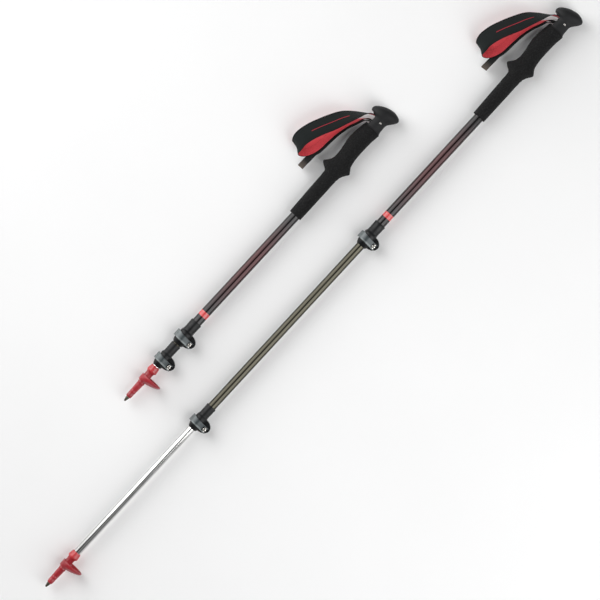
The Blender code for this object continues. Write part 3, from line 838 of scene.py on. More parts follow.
@dataclass(frozen=True)
class PoleTip:
    """Carbide point, tapered ferrule with a fluted collar, and the basket on it."""

    mount: Mount
    finishes: Finishes
    collar_start: float = 67.5
    ferrule_end: float = 80.5
    shaft_r: float = 6.5
    basket_seat: float = 51.5
    flutes: int = 14
    flute_depth: float = 0.35
    basket_sides: int = 96
    ribs: int = 8
    rim_half_y: float = 20.4
    rim_half_z: float = 17.7
    rim_shift: float = -11.1
    hub_bore: float = 7.2

    def build(self) -> None:
        """Make the three pieces."""
        body = "lower_section"
        self.mount.piece(turned([(0.35, 0.0), (0.0, 0.75), (0.1, 1.15), (0.5, 1.45), (1.6, 1.8), (5.0, 2.75),
                                 (8.6, 3.5), (9.2, 3.5), (9.2, 2.5), (23.0, 2.5), (23.0, 0.0)], FINE_SIDES),
                         "carbide_tip", body, "carbide", [self.finishes.carbide])
        self.mount.piece(self._ferrule(), "tip_ferrule", body, "red_plastic",
                         [self.finishes.red, self.finishes.red_collar], crease=40.0)
        self.mount.piece(self._basket(), "basket", body, "red_plastic", [self.finishes.red], crease=50.0)

    def _ferrule(self) -> bmesh.types.BMesh:
        """Tapered body with moulded rings, and a flared collar with flutes.

        Returns:
            The ferrule's mesh, with its collar in the second material.
        """
        bore, spigot_r, spigot_end = 2.8, self.shaft_r - 0.9, self.ferrule_end + 14.0
        socket_r = self.shaft_r + FIT
        bm = turned([
            (23.6, 0.0), (23.6, bore), (9.5, bore), (9.5, 4.2), (9.8, 4.7), (10.6, 5.05), (12.5, 5.2),
            (18.0, 5.36), (18.4, 5.1), (19.4, 5.12), (19.8, 5.44), (24.0, 5.55), (24.4, 5.3), (25.4, 5.32),
            (25.8, 5.62), (38.0, 6.05), (41.0, 6.15), (41.6, 6.6), (43.4, 6.65), (44.0, 6.25), (60.0, 6.85),
            (65.5, 7.0), (66.8, 7.3), (68.0, 8.6), (69.0, 9.3), (70.2, 9.5), (71.4, 9.45), (74.0, 9.1),
            (77.0, 8.65), (79.0, 8.25), (80.0, 7.8), (self.ferrule_end, 7.3), (self.ferrule_end, socket_r),
            (69.0, socket_r), (69.0, spigot_r), (spigot_end, spigot_r), (spigot_end, 0.0)])
        for vert in bm.verts:
            radius = math.hypot(vert.co.y, vert.co.z)
            if radius > socket_r + 0.6 and vert.co.x > self.collar_start:
                wave = 0.5 - 0.5 * math.cos(self.flutes * math.atan2(vert.co.z, vert.co.y))
                strength = smooth_step(vert.co.x, 70.4, 73.0) * (1.0 - smooth_step(vert.co.x, 77.5, 80.2))
                shrink = 1.0 - self.flute_depth * wave * strength / radius
                vert.co.y *= shrink
                vert.co.z *= shrink
        for face in bm.faces:
            centre = face.calc_center_median()
            if centre.x > self.collar_start - 0.8 and math.hypot(centre.y, centre.z) > socket_r:
                face.material_index = 1
        return bm

    def _basket(self) -> bmesh.types.BMesh:
        """Dished, off-centre basket with radial ribs and a rounded rim.

        Returns:
            The basket's mesh.
        """
        low, high = self.basket_seat - 5.7, self.basket_seat + 6.3
        hub_r = self.hub_bore + 1.5
        stations = [  # x, inset from the rim, share of the way from the hub to the rim, rib height
            (low + 0.3, 0.0, 0.0, 0.0), (low, -0.1, 0.03, 0.0), (low + 0.5, 0.0, 0.09, 0.2),
            (low + 1.8, 0.0, 0.2, 0.6), (low + 3.6, 0.0, 0.45, 0.8), (low + 5.5, 0.0, 0.7, 0.7),
            (low + 7.2, 0.0, 0.86, 0.4), (high - 3.0, 0.0, 0.96, 0.0), (high - 1.8, 0.0, 1.0, 0.0),
            (high - 0.7, 0.0, 1.0, 0.0),
            (high - 0.1, 0.35, 1.0, 0.0), (high, 1.0, 1.0, 0.0), (high - 0.25, 1.7, 1.0, 0.0),
            (high - 1.0, 2.0, 1.0, 0.0), (high - 2.2, 1.6, 0.95, 0.0), (low + 7.8, 1.0, 0.8, -0.5),
            (low + 6.4, 0.5, 0.55, -0.8), (low + 5.2, 0.2, 0.3, -0.5), (low + 5.0, 0.0, 0.12, 0.0),
            (low + 5.6, 0.0, 0.02, 0.0), (high - 1.4, 0.0, 0.0, 0.0), (high - 1.0, 0.4, -0.02, 0.0)]
        rings = [self._outline(hub_r, *station) for station in stations]
        bore = [[Vector((x, self.hub_bore * math.cos(angle), self.hub_bore * math.sin(angle)))
                 for angle in self._angles()] for x in (high - 1.0, low + 0.3)]
        return lofted(rings + bore, closed=True)

    def _angles(self) -> list[float]:
        """The basket's directions round its hub."""
        return [math.tau * i / self.basket_sides for i in range(self.basket_sides)]

    def _outline(self, hub_r: float, x: float, inset: float, share: float, rib: float) -> list[Vector]:
        """One ring of the basket, between its round hub and its oval rim.

        Args:
            hub_r: the hub's outer radius.
            x: the ring's place along the pole.
            inset: how far the rim is drawn in.
            share: the ring's place between the hub, at 0, and the rim, at 1.
            rib: how far the ribs stand out towards the tip.

        Returns:
            The ring's points.
        """
        points = []
        for angle in self._angles():
            hub = Vector((x, hub_r * math.cos(angle), hub_r * math.sin(angle)))
            rim = Vector((x, self.rim_shift + (self.rim_half_y - inset) * math.cos(angle),
                          (self.rim_half_z - inset) * math.sin(angle)))
            point = hub.lerp(rim, share)
            point.x -= rib * max(0.0, math.cos(self.ribs * angle)) ** 6
            points.append(point)
        return points


@dataclass(frozen=True)
class Shafts:
    """The three tubes of a pole."""

    mounts: dict[Section, Mount]
    finishes: Finishes
    wall: float = 0.6
    rim: float = 0.15
    upper: tuple[float, float, float] = (823.5, 1300.0, 9.0)
    middle: tuple[float, float, float] = (394.0, 892.0, 7.75)
    lower: tuple[float, float, float] = (69.3, 490.0, 6.5)
    ring_centre: float = 871.0
    grip_start: float = 1105.0

    def build(self) -> None:
        """Make the tubes."""
        upper = self.mounts[Section.UPPER]
        painted = FadedTubeFinish(
            upper.node("black_red_fade"), start=upper.origin.x + self.upper[0] * MM,
            end=upper.origin.x + self.grip_start * MM,
            ring_centre=upper.origin.x + self.ring_centre * MM).build()
        slots = {Section.UPPER: ("black_aluminium", painted, self.upper),
                 Section.MIDDLE: ("graphite_aluminium", self.finishes.graphite, self.middle),
                 Section.LOWER: ("bare_aluminium", self.finishes.silver, self.lower)}
        for section, (slot, material, size) in slots.items():
            self.mounts[section].piece(self._tube(*size), f"{section.value}_shaft",
                                       f"{section.value}_section", slot, [material])

    def _tube(self, start: float, end: float, outer: float) -> bmesh.types.BMesh:
        """A tube with broken edges.

        Args:
            start: where it starts along the pole.
            end: where it ends.
            outer: its outer radius.

        Returns:
            The tube.
        """
        inner, rim = outer - self.wall, self.rim
        return turned([(start + rim, outer), (end - rim, outer), (end, outer - rim), (end, inner + rim),
                       (end - rim, inner), (start + rim, inner), (start, inner + rim), (start, outer - rim)],
                      closed=True)


@dataclass(frozen=True)
class LeverClamp:
    """Slit collar, cam lever, cross barrel, slotted screw and nut of one clamp."""

    mount: Mount
    finishes: Finishes
    nose_x: float
    inner_r: float
    outer_r: float
    ring_r: float
    length: float = 51.0
    pod_x: float = 16.0
    pod_half: float = 12.0
    pod_reach: float = 25.5
    pod_top: float = 2.2
    pod_bottom: float = -9.0
    pod_steps: int = 32
    slit: tuple[float, float] = (-2.6, -1.4)
    lever_x: float = 13.5
    pivot: Point = (-17.5, 7.0)
    cam_r: float = 4.5
    lever_half: float = 5.7
    lever_thickness: float = 2.8
    lever_lean: float = 0.05
    lever_flare: float = 1.6
    window_half: float = 3.9
    window_r: float = 6.6
    barrel_r: float = 2.4
    screw_r: float = 1.5
    head_r: float = 3.0
    head_height: float = 2.4
    slot_angle: float = 56.0
    nut_flats: float = 5.5
    nut_height: float = 2.1

    @property
    def name(self) -> str:
        """The clamp's name without the side."""
        return self.mount.section.value.replace("middle", "lower") + "_clamp"

    @property
    def screw_x(self) -> float:
        """Where the lever and the screw stand along the pole."""
        return self.nose_x + self.lever_x

    def build(self) -> None:
        """Make the five pieces."""
        prefix = self.name.replace("_clamp", "")
        carrier = f"{self.mount.section.value}_section"
        self._collar(carrier)
        self._lever(f"{prefix}_lever")
        self._fittings(f"{prefix}_tension_screw", carrier)

    def _collar(self, body: str) -> None:
        """Collar with a nose cone, a wide ring, a grooved sleeve and a pod for the screw.

        Args:
            body: the body that carries it.
        """
        bore, seat = self.inner_r + FIT, self.outer_r + FIT
        sleeve = seat + 1.15
        groove = sleeve - 0.35
        ring = self.ring_r
        profile = [
            (0.0, bore + 0.5), (0.3, bore + 0.95), (1.0, bore + 1.15), (2.6, ring - 1.7), (4.6, ring - 1.05),
            (6.2, ring - 0.3), (7.0, ring), (8.2, ring), (8.5, ring - 0.25), (25.0, ring - 0.25),
            (25.3, ring), (26.2, ring), (26.8, ring - 0.3), (28.2, sleeve + 0.7), (29.2, sleeve + 0.15),
            (30.0, sleeve), (32.0, sleeve), (32.3, groove), (33.1, groove), (33.4, sleeve), (35.0, sleeve),
            (35.3, groove), (36.1, groove), (36.4, sleeve), (47.0, sleeve), (47.4, sleeve + 0.3),
            (49.8, sleeve + 0.3), (50.6, sleeve), (self.length, sleeve - 0.6), (self.length, seat),
            (21.7, seat), (21.7, bore), (0.0, bore)]
        inner_y = seat + 0.5
        reach = self.pod_reach - inner_y
        pod_x = self.nose_x + self.pod_x
        turns = [math.pi * i / self.pod_steps for i in range(self.pod_steps + 1)]
        outline = [(pod_x + self.pod_half * math.cos(turn), -inner_y - reach * math.sin(turn)) for turn in turns]
        pod = bmesh.new()
        face = pod.faces.new([pod.verts.new((x, y, self.pod_bottom)) for x, y in outline])
        grown = bmesh.ops.extrude_face_region(pod, geom=[face])["geom"]
        bmesh.ops.translate(pod, verts=[item for item in grown if isinstance(item, bmesh.types.BMVert)],
                            vec=(0, 0, self.pod_top - self.pod_bottom))
        pivot_y = self.pivot[0]
        pocket_r = (self.nut_flats / 2 + FIT) / math.cos(math.pi / 6)
        slit = block((self.nose_x - 1.0, -self.pod_reach - 4.0, self.slit[0]),
                     (self.nose_x + 28.0, -self.inner_r + 2.0, self.slit[1]))
        middle_z = (self.pod_top + self.pod_bottom) / 2
        hole = rod((self.screw_x, pivot_y, middle_z), "z", 16.0, self.screw_r + FIT)
        pocket_depth = self.nut_height + 3 * FIT
        pocket = rod((self.screw_x, pivot_y, self.pod_bottom), "z", 2 * pocket_depth, pocket_r, 6)
        self.mount.piece(turned([(self.nose_x + x, r) for x, r in profile], closed=True),
                         f"{self.name}_collar", body, "black_plastic", [self.finishes.black_plastic],
                         bevel=0.35, joined=[pod], carved=[slit, hole, pocket])

    def _lever(self, body: str) -> None:
        """Cam lever: it wraps over the ring, flares at its free end and has two cheeks.

        Args:
            body: the body that carries it.
        """
        inner, outer = self.ring_r + 0.4, self.ring_r + 0.4 + self.lever_thickness
        back = []
        for degrees in range(-13, 114, 3):
            flare = 0.9 * (1.0 - smooth_step(degrees, -11, 12))
            groove = 0.35 if degrees in (8, 14, 20) else 0.0
            angle = math.radians(degrees)
            radius = outer + flare - groove
            back.append((radius * math.cos(angle), radius * math.sin(angle)))
        outline = back + arc(self.pivot, self.cam_r, 92, 350, 40) + arc((0, 0), inner, 139, -15, 40)
        bm = prism(outline, self.lever_half, self.screw_x)
        for vert in bm.verts:
            flared = vert.co.x > self.screw_x
            widen = self.lever_flare * smooth_step(vert.co.y, 2.0, 12.0) if flared else 0.0
            vert.co.x += self.lever_lean * (vert.co.y - self.pivot[0]) + widen
        centre = (self.screw_x, *self.pivot)
        window = rod(centre, "x", 2 * self.window_half, self.window_r, 64)
        eye = rod(centre, "x", 6 * self.lever_half, self.barrel_r + FIT)
        origin = self.mount.origin
        # centre of the lever finish's painted highlight along its nose edge and free end
        middle_x = origin.x + self.screw_x * MM + self.lever_lean * 17 * MM
        grey = LeverFinish(self.mount.node(f"{self.name}_lever_grey"), (middle_x, origin.y, origin.z)).build()
        self.mount.piece(bm, f"{self.name}_lever", body, "grey_lever", [grey], bevel=0.45,
                         carved=[window, eye])

    def _fittings(self, screw_body: str, collar_body: str) -> None:
        """The barrel in the lever's eye, the slotted screw on it and the nut under the pod.

        Args:
            screw_body: the body that carries the screw.
            collar_body: the body that carries the barrel and the nut.
        """
        pivot_y, pivot_z = self.pivot
        barrel_half = self.lever_half - 0.1
        edge = 0.35
        barrel = turned([(-barrel_half, 0.0), (-barrel_half, self.barrel_r - edge),
                         (edge - barrel_half, self.barrel_r), (barrel_half - edge, self.barrel_r),
                         (barrel_half, self.barrel_r - edge), (barrel_half, 0.0)], FINE_SIDES)
        bmesh.ops.translate(barrel, verts=barrel.verts, vec=(self.screw_x, pivot_y, pivot_z))
        hole = rod((self.screw_x, pivot_y, pivot_z), "z", 8.0, self.screw_r + FIT)
        self.mount.piece(barrel, f"{self.name}_barrel", collar_body, "steel", [self.finishes.steel],
                         carved=[hole])

        under = pivot_z + self.barrel_r + FIT
        top = under + self.head_height
        screw = turned([(-8.7, 0.0), (-8.7, self.screw_r - 0.2), (-8.5, self.screw_r), (under, self.screw_r),
                        (under, self.head_r - 0.1), (under + 0.15, self.head_r), (top - 0.7, self.head_r),
                        (top - 0.3, self.head_r - 0.25), (top - 0.05, self.head_r - 0.8), (top, 0.9),
                        (top, 0.0)], FINE_SIDES)
        stand = Matrix.Translation((self.screw_x, pivot_y, 0.0)) @ Matrix.Rotation(-math.pi / 2, 4, "Y")
        bmesh.ops.transform(screw, matrix=stand, verts=screw.verts)
        slot = block((-4.0, -0.5, top - 1.0), (4.0, 0.5, top + 1.0))
        bmesh.ops.transform(slot, verts=slot.verts, matrix=Matrix.Translation((self.screw_x, pivot_y, 0.0))
                            @ Matrix.Rotation(math.radians(self.slot_angle), 4, "Z"))
        self.mount.piece(screw, f"{self.name}_screw", screw_body, "steel", [self.finishes.steel],
                         carved=[slot])

        low = self.pod_bottom + FIT
        nut = rod((self.screw_x, pivot_y, low + self.nut_height / 2), "z", self.nut_height,
                  self.nut_flats / 2 / math.cos(math.pi / 6), 6)
        bore = rod((self.screw_x, pivot_y, low), "z", 4 * self.nut_height, self.screw_r + 0.05)
        self.mount.piece(nut, f"{self.name}_nut", collar_body, "steel", [self.finishes.steel], bevel=0.2,
                         carved=[bore])


# Stations of the grip and the head: x, front (y), back (y), half height (z)
GRIP_STATIONS = [
    (1105.3, -11.3, 12.3, 11.8), (1106.5, -11.6, 12.7, 12.1), (1150.0, -11.5, 14.3, 12.6),
    (1190.0, -11.3, 15.8, 13.2), (1197.0, -11.7, 18.0, 14.0), (1202.0, -12.5, 25.5, 15.5),
    (1206.8, -14.2, 29.4, 16.6), (1212.0, -17.3, 26.0, 17.0), (1218.0, -20.8, 21.6, 16.6),
    (1223.0, -18.0, 20.2, 15.4), (1230.0, -13.8, 19.4, 14.4), (1243.0, -11.2, 20.6, 14.4),
    (1257.0, -10.5, 23.0, 15.0), (1269.0, -10.4, 24.1, 15.4), (1284.0, -10.8, 23.2, 15.2),
    (1296.0, -12.2, 21.6, 14.8), (1301.6, -12.8, 21.0, 14.5)]

HEAD_STATIONS = [
    (1302.5, -11.6, 20.6, 14.2), (1307.0, -10.4, 20.0, 14.2), (1319.0, -9.8, 18.6, 14.5),
    (1323.5, -10.4, 20.4, 15.0), (1326.5, -12.0, 26.5, 16.4), (1330.6, -15.2, 28.8, 17.6),
    (1335.0, -18.6, 27.8, 18.0), (1339.3, -21.0, 24.0, 17.4), (1342.0, -21.4, 20.2, 16.2),
    (1344.6, -20.4, 15.8, 14.2), (1347.2, -17.2, 10.0, 11.0), (1349.2, -11.6, 2.6, 6.6),
    (1350.0, -7.0, -2.6, 2.2)]


@dataclass(frozen=True)
class Grip:
    """Foam grip with its two knobs, domed head and the pin across the head."""

    mount: Mount
    finishes: Finishes
    sides: int = 80
    steps: int = 7
    bore: float = 9.3
    spigot: float = 8.1
    pin_x: float = 1319.0
    pin_r: float = 2.0
    ridges: tuple[float, ...] = (1177.0, 1184.0, 1191.0, 1198.0)
    ridge_slant: float = 0.28
    ridge_depth: float = 0.45
    ridge_width: float = 1.0

    def build(self) -> None:
        """Make the three pieces."""
        body = "upper_section"
        self.mount.piece(self._foam(), "foam_grip", body, "grip_foam", [self.finishes.foam], crease=60.0)
        slot = block((self.pin_x - 13.5, -5.2, -10.0), (self.pin_x + 7.8, 40.0, 10.0))
        pin_hole = rod((self.pin_x, 0.0, 0.0), "z", 50.0, self.pin_r + FIT)
        self.mount.piece(self._head(), "grip_head", body, "head_rubber", [self.finishes.rubber],
                         carved=[slot, pin_hole], crease=55.0)
        pin = turned([(-14.3, 0.0), (-14.3, 1.3), (-14.1, 1.7), (-13.7, 2.0), (13.7, 2.0), (14.1, 1.7),
                      (14.3, 1.3), (14.3, 0.7), (13.6, 0.5), (13.6, 0.0)], FINE_SIDES)
        bmesh.ops.transform(pin, matrix=Matrix.Translation((self.pin_x, 0, 0))
                            @ Matrix.Rotation(-math.pi / 2, 4, "Y"), verts=pin.verts)
        self.mount.piece(pin, "strap_pin", body, "steel", [self.finishes.steel])

    def _oval(self, x: float, front: float, back: float, half: float, ridged: bool = False) -> list[Vector]:
        """An oval ring.

        Args:
            x: the ring's place along the pole.
            front: its lowest y.
            back: its highest y.
            half: its half height.
            ridged: whether it takes its share of the slanted grooves below the knobs.

        Returns:
            The ring's points.
        """
        centre, half_y = (front + back) / 2, (back - front) / 2
        points = []
        for i in range(self.sides):
            angle = math.tau * i / self.sides
            point = Vector((x, centre + half_y * math.cos(angle), half * math.sin(angle)))
            if ridged:
                slanted = x + self.ridge_slant * point.y
                dip = sum(math.exp(-((slanted - at) / self.ridge_width) ** 2) for at in self.ridges)
                shrink = 1.0 - self.ridge_depth * dip / half
                point = Vector((x, centre + (point.y - centre) * shrink, point.z * shrink))
            points.append(point)
        return points

    def _round(self, x: float, radius: float) -> list[Vector]:
        """A round ring on the shaft's axis."""
        return self._oval(x, -radius, radius, radius)

    def _foam(self) -> bmesh.types.BMesh:
        """Foam skin, bored for the shaft.

        Returns:
            The grip's mesh.
        """
        outer = [self._oval(*sample, ridged=True) for sample in spline(GRIP_STATIONS, False, self.steps)]
        x, front, back, half = GRIP_STATIONS[-1]
        top_lip = self._oval(x + 0.6, front + 0.5, back - 0.5, half - 0.5)
        x_low, front, back, half = GRIP_STATIONS[0]
        low_lip = self._oval(x_low - 0.3, front + 0.9, back - 0.9, half - 0.9)
        bores = [self._round(x + 0.6, self.bore), self._round(x_low - 0.3, self.bore)]
        return lofted([low_lip] + outer + [top_lip] + bores, closed=True)

    def _head(self) -> bmesh.types.BMesh:
        """Domed head on its spigot.

        Returns:
            The head's mesh.
        """
        x, front, back, half = HEAD_STATIONS[0]
        seat = [self._round(1285.0, self.spigot), self._round(x, self.spigot),
                self._oval(x, front + 0.4, back - 0.4, half - 0.4)]
        skin = [self._oval(*sample) for sample in spline([(x + 0.5, front, back, half)] + HEAD_STATIONS[1:],
                                                         False, self.steps)]
        x, front, back, half = HEAD_STATIONS[-1]
        return lofted(seat + skin + [self._oval(x, front + 2.1, back - 2.1, half - 2.0)])


# Stations of the strap: middle point, direction of the width, half width. The first comes out
# of the head on the upper strand and the last goes back in on the lower strand.
STRAP_STATIONS = [
    ((1324.5, 8.0, 0.0), (0.0, 0.0, 1.0), 7.5),
    ((1323.8, 17.0, 0.3), (0.0, 0.0, 1.0), 7.5),
    ((1320.0, 25.0, 1.5), (0.1, -0.15, 1.0), 7.5),
    ((1312.5, 33.0, 4.0), (0.0, -0.45, 0.9), 8.0),
    ((1301.5, 41.0, 8.0), (-0.3, -0.7, 0.65), 10.0),
    ((1283.0, 53.0, 13.0), (-0.42, -0.88, 0.22), 13.0),
    ((1263.0, 62.5, 16.0), (-0.42, -0.9, 0.0), 14.5),
    ((1245.0, 71.0, 17.3), (-0.38, -0.92, 0.0), 14.5),
    ((1226.0, 78.6, 16.6), (-0.3, -0.95, 0.0), 14.5),
    ((1208.0, 82.6, 13.5), (-0.24, -0.97, 0.0), 14.0),
    ((1196.5, 80.6, 8.0), (-0.34, -0.94, 0.0), 12.8),
    ((1191.5, 76.2, 1.5), (-0.46, -0.88, 0.08), 12.8),
    ((1195.0, 69.2, -3.5), (-0.4, -0.84, 0.3), 13.8),
    ((1205.0, 62.0, -5.6), (-0.26, -0.8, 0.5), 14.5),
    ((1218.0, 57.5, -6.2), (-0.18, -0.77, 0.6), 14.5),
    ((1237.0, 55.6, -6.2), (-0.15, -0.76, 0.64), 14.2),
    ((1257.0, 52.2, -6.0), (-0.18, -0.74, 0.66), 13.0),
    ((1277.0, 45.2, -5.0), (-0.2, -0.66, 0.72), 11.0),
    ((1293.0, 35.0, -3.0), (-0.1, -0.45, 0.88), 8.8),
    ((1305.5, 27.0, -1.0), (0.0, -0.18, 0.98), 7.5),
    ((1312.8, 18.5, 0.0), (0.0, 0.0, 1.0), 7.5),
    ((1313.5, 8.0, 0.0), (0.0, 0.0, 1.0), 7.5)]

TAIL_END = [
    ((1170.5, 51.0, -3.5), (0.05, -0.75, 0.66)),
    ((1181.0, 51.0, -3.2), (0.0, -0.75, 0.66)),
    ((1192.0, 50.5, -2.6), (-0.1, -0.76, 0.63)),
    ((1200.0, 50.6, -2.0), (-0.16, -0.78, 0.6))]


@dataclass(frozen=True)
class StrapSection:
    """One cross-section of a strap."""

    middle: Vector
    width: Vector
    normal: Vector
    half: float
    travelled: float


def strap_sections(samples: Sequence[Sequence[float]], closed: bool) -> list[StrapSection]:
    """Frames along a strap.

    Args:
        samples: middle point, width direction and half width, as seven numbers each.
        closed: whether the strap is a loop.

    Returns:
        The sections, each with its distance along the strap.
    """
    count = len(samples)
    sections, travelled = [], 0.0
    for i, sample in enumerate(samples):
        before = samples[(i - 1) % count if closed else max(i - 1, 0)]
        after = samples[(i + 1) % count if closed else min(i + 1, count - 1)]
        along = (Vector(after[:3]) - Vector(before[:3])).normalized()
        width = Vector(sample[3:6])
        width = (width - along * width.dot(along)).normalized()
        middle = Vector(sample[:3])
        if sections:
            travelled += (middle - sections[-1].middle).length
        sections.append(StrapSection(middle, width, along.cross(width), sample[6], travelled))
    return sections


@dataclass(frozen=True)
class WristStrap:
    """Padded band with a red lining, bound edges and stitching, and the webbing's free end."""

    mount: Mount
    finishes: Finishes
    webbing_half: float = 7.5
    band_half: float = 14.5
    webbing_thickness: float = 1.5
    band_thickness: float = 3.0
    bound: float = 1.9
    bound_columns: tuple[int, int] = (5, 2)
    seam: float = 2.4
    seam_depth: float = 0.4
    edge_r: float = 0.7
    steps: int = 9
    turn: tuple[float, float, float] = (1319.0, 2.0, 5.5)
    tail_first: int = 13
    tail_offset: float = 2.9
    tail_shows: float = 1.5
    tail_thickness: float = 1.5
    stitch_pitch: float = 2.7
    stitch_half: float = 0.95
    stitch_r: float = 0.2

    def build(self) -> None:
        """Make the band, its stitching and the tail."""
        body, sections = "upper_section", self._loop()
        columns = [self._columns(section) for section in sections]
        rings = [[section.middle + section.width * w + section.normal * n for w, n in row]
                 for section, row in zip(sections, columns)]
        end = sections[-1].travelled + (sections[0].middle - sections[-1].middle).length
        bm = lofted(rings, closed=True, along=[s.travelled for s in sections] + [end],
                    across=[[w for w, _ in row] for row in columns],
                    materials=self._face_materials(len(columns[0])))
        fabrics = [self.finishes.band, self.finishes.lining, self.finishes.binding]
        band = self.mount.piece(bm, "strap_loop", body, "strap_fabric", fabrics, crease=70.0)
        self.mount.piece(self._stitches(sections), "strap_stitching", body, "strap_fabric",
                         [self.finishes.thread], replaced=())
        self._tail(body, sections)

    def _loop(self) -> list[StrapSection]:
        """Lay the strap out, with its turn round the pin.

        Returns:
            The sections round the whole strap.
        """
        stations = [(*middle, *width, half) for middle, width, half in STRAP_STATIONS]
        x, y, radius = self.turn
        for degrees in (180, 240, 300, 360):
            angle = math.radians(degrees)
            stations.append((x + radius * math.cos(angle), y + radius * math.sin(angle), 0.0, 0.0, 0.0, 1.0,
                             self.webbing_half))
        return strap_sections(spline(stations, True, self.steps), True)

    def _fullness(self, half: float) -> float:
        """0 where the strap is plain webbing and 1 where it is the full padded band."""
        return smooth_step(half, self.webbing_half + 0.4, self.band_half - 2.0)

    def _height(self, half: float, inset: float) -> float:
        """Half the strap's thickness.

        Args:
            half: the strap's half width there.
            inset: the distance from its edge.

        Returns:
            The height above the strap's middle plane.
        """
        full = self._fullness(half)
        share = min(1.0, inset / self.edge_r)
        rounded = math.sqrt(max(0.0, 1.0 - (1.0 - share) ** 2))
        padding = full * (self.band_thickness - self.webbing_thickness) / 2
        height = self.webbing_thickness / 2 + padding * smooth_step(inset, self.seam, self.seam + 3.0)
        return rounded * height - full * self.seam_depth * math.exp(-((inset - self.seam) / 0.4) ** 2)

    def _columns(self, section: StrapSection) -> list[Point]:
        """Outline of a cross-section, over the outer face and back over the lining.

        Args:
            section: the cross-section.

        Returns:
            Its (across, out) points.
        """
        half = section.half
        insets = [0.0, 0.12, 0.35, 0.7, 1.2, self.bound, 2.15, self.seam, 2.7, 3.1, 3.8, 4.6, 5.6, half]
        over = [(half - inset, self._height(half, inset)) for inset in insets]
        over += [(-w, n) for w, n in reversed(over[:-1])]
        return over + [(w, -n) for w, n in reversed(over[1:-1])]

    def _face_materials(self, count: int) -> list[int]:
        """Materials round a cross-section: outer face 0, lining 1, bound edges 2.

        Args:
            count: how many points the cross-section has.

        Returns:
            The material index of the faces that start at each point.
        """
        half_count = count // 2
        indices = []
        for column in range(count):
            from_edge = min(column % half_count, half_count - 1 - column % half_count)
            bound = self.bound_columns[column // half_count]
            indices.append(2 if from_edge < bound else column // half_count)
        return indices

    def _stitches(self, sections: Sequence[StrapSection]) -> bmesh.types.BMesh:
        """Rows of stitches along both seams, and down the middle of the lining.

        Args:
            sections: the strap's sections.

        Returns:
            One mesh with every stitch.
        """
        bm = bmesh.new()
        due = 0.0
        for section, following in zip(sections, sections[1:]):
            step = following.travelled - section.travelled
            while due < following.travelled:
                share = (due - section.travelled) / step
                due += self.stitch_pitch
                if self._fullness(section.half) < 0.2:
                    continue
                middle = section.middle.lerp(following.middle, share)
                width = section.width.lerp(following.width, share).normalized()
                normal = section.normal.lerp(following.normal, share).normalized()
                half = section.half + (following.half - section.half) * share
                basis = Matrix((width.cross(normal) * self.stitch_half, width * self.stitch_r,
                                normal * self.stitch_r)).transposed().to_4x4()
                height = self._height(half, self.seam)
                spots = [(side * (half - self.seam), face * height) for side in (-1, 1) for face in (-1, 1)]
                for w, n in spots + [(0.0, -self._height(half, half))]:
                    place = Matrix.Translation(middle + width * w + normal * n) @ basis
                    bmesh.ops.create_uvsphere(bm, u_segments=6, v_segments=5, radius=1.0, matrix=place)
        return bm

    def _tail(self, body: str, sections: Sequence[StrapSection]) -> None:
        """Free end of the webbing, with a heat-cut end.

        Args:
            body: the body that carries it.
            sections: the strap's sections, which its first stretch follows.
        """
        first, last = self.steps * self.tail_first, self.steps * (len(STRAP_STATIONS) - 1)
        stations = [(*middle, *width, self.webbing_half) for middle, width in TAIL_END]
        for section in sections[first + 3:last + 1:3]:
            shift = self.tail_shows * (section.half - self.webbing_half)
            stations.append((*(section.middle + section.width * shift + section.normal * self.tail_offset),
                             *section.width, self.webbing_half))
        tail = strap_sections(spline(stations, False, 3), False)
        rings, across = [], []
        for section in tail:
            thick = self.tail_thickness / 2
            half = section.half
            top = [(half - inset, thick * rise) for inset, rise in
                   ((0.0, 0.0), (0.1, 0.5), (0.35, 0.85), (0.7, 1.0), (2.0, 0.96), (2.4, 0.86), (2.8, 0.96),
                    (5.0, 1.0), (half, 1.0))]
            top += [(-w, n) for w, n in reversed(top[:-1])]
            row = top + [(w, -n) for w, n in reversed(top[1:-1])]
            rings.append([section.middle + section.width * w + section.normal * n for w, n in row])
            across.append([w for w, _ in row])
        self.mount.piece(lofted(rings, along=[s.travelled for s in tail], across=across), "strap_tail", body,
                         "webbing", [self.finishes.webbing], crease=50.0)


# ------------------------------------------------------------------ the pair


@dataclass(frozen=True)
class Pole:
    """One whole pole, put together from its sub-assemblies."""

    side: Side
    finishes: Finishes
    upper_tube_start: float = 823.5
    middle_tube_start: float = 394.0
    lower_tube_start: float = 69.3
    lower_nose: float = 372.0
    upper_nose: float = 801.5
    hidden: tuple[str, ...] = ("lower_guide_plug", "middle_guide_plug", "strap_wedge")

    def _mounts(self) -> dict[Section, Mount]:
        """Read where the three sections lie from their tubes in the frame.

        Returns:
            Each section's mount.
        """
        starts = {Section.UPPER: self.upper_tube_start, Section.MIDDLE: self.middle_tube_start,
                  Section.LOWER: self.lower_tube_start}
        mounts = {}
        for section, start in starts.items():
            low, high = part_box(f"{self.side.value}_{section.value}_shaft")
            centre = (low + high) / 2
            mounts[section] = Mount(self.side, section, Vector((low.x - start * MM, centre.y, centre.z)))
        return mounts

    def build(self) -> None:
        """Make every piece and dress the hidden nodes that stay."""
        mounts = self._mounts()
        finishes = self.finishes
        upper, middle, lower = mounts[Section.UPPER], mounts[Section.MIDDLE], mounts[Section.LOWER]
        PoleTip(lower, finishes).build()
        Shafts(mounts, finishes).build()
        LeverClamp(middle, finishes, self.lower_nose, inner_r=6.5, outer_r=7.75, ring_r=10.7).build()
        LeverClamp(upper, finishes, self.upper_nose, inner_r=7.75, outer_r=9.0, ring_r=12.2).build()
        Grip(upper, finishes).build()
        WristStrap(upper, finishes).build()
        for name in self.hidden:
            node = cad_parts[upper.node(name)]
            for holder in node.material_slots:
                holder.material = finishes.black_plastic
            LOG.info("dressed %s", node.name)


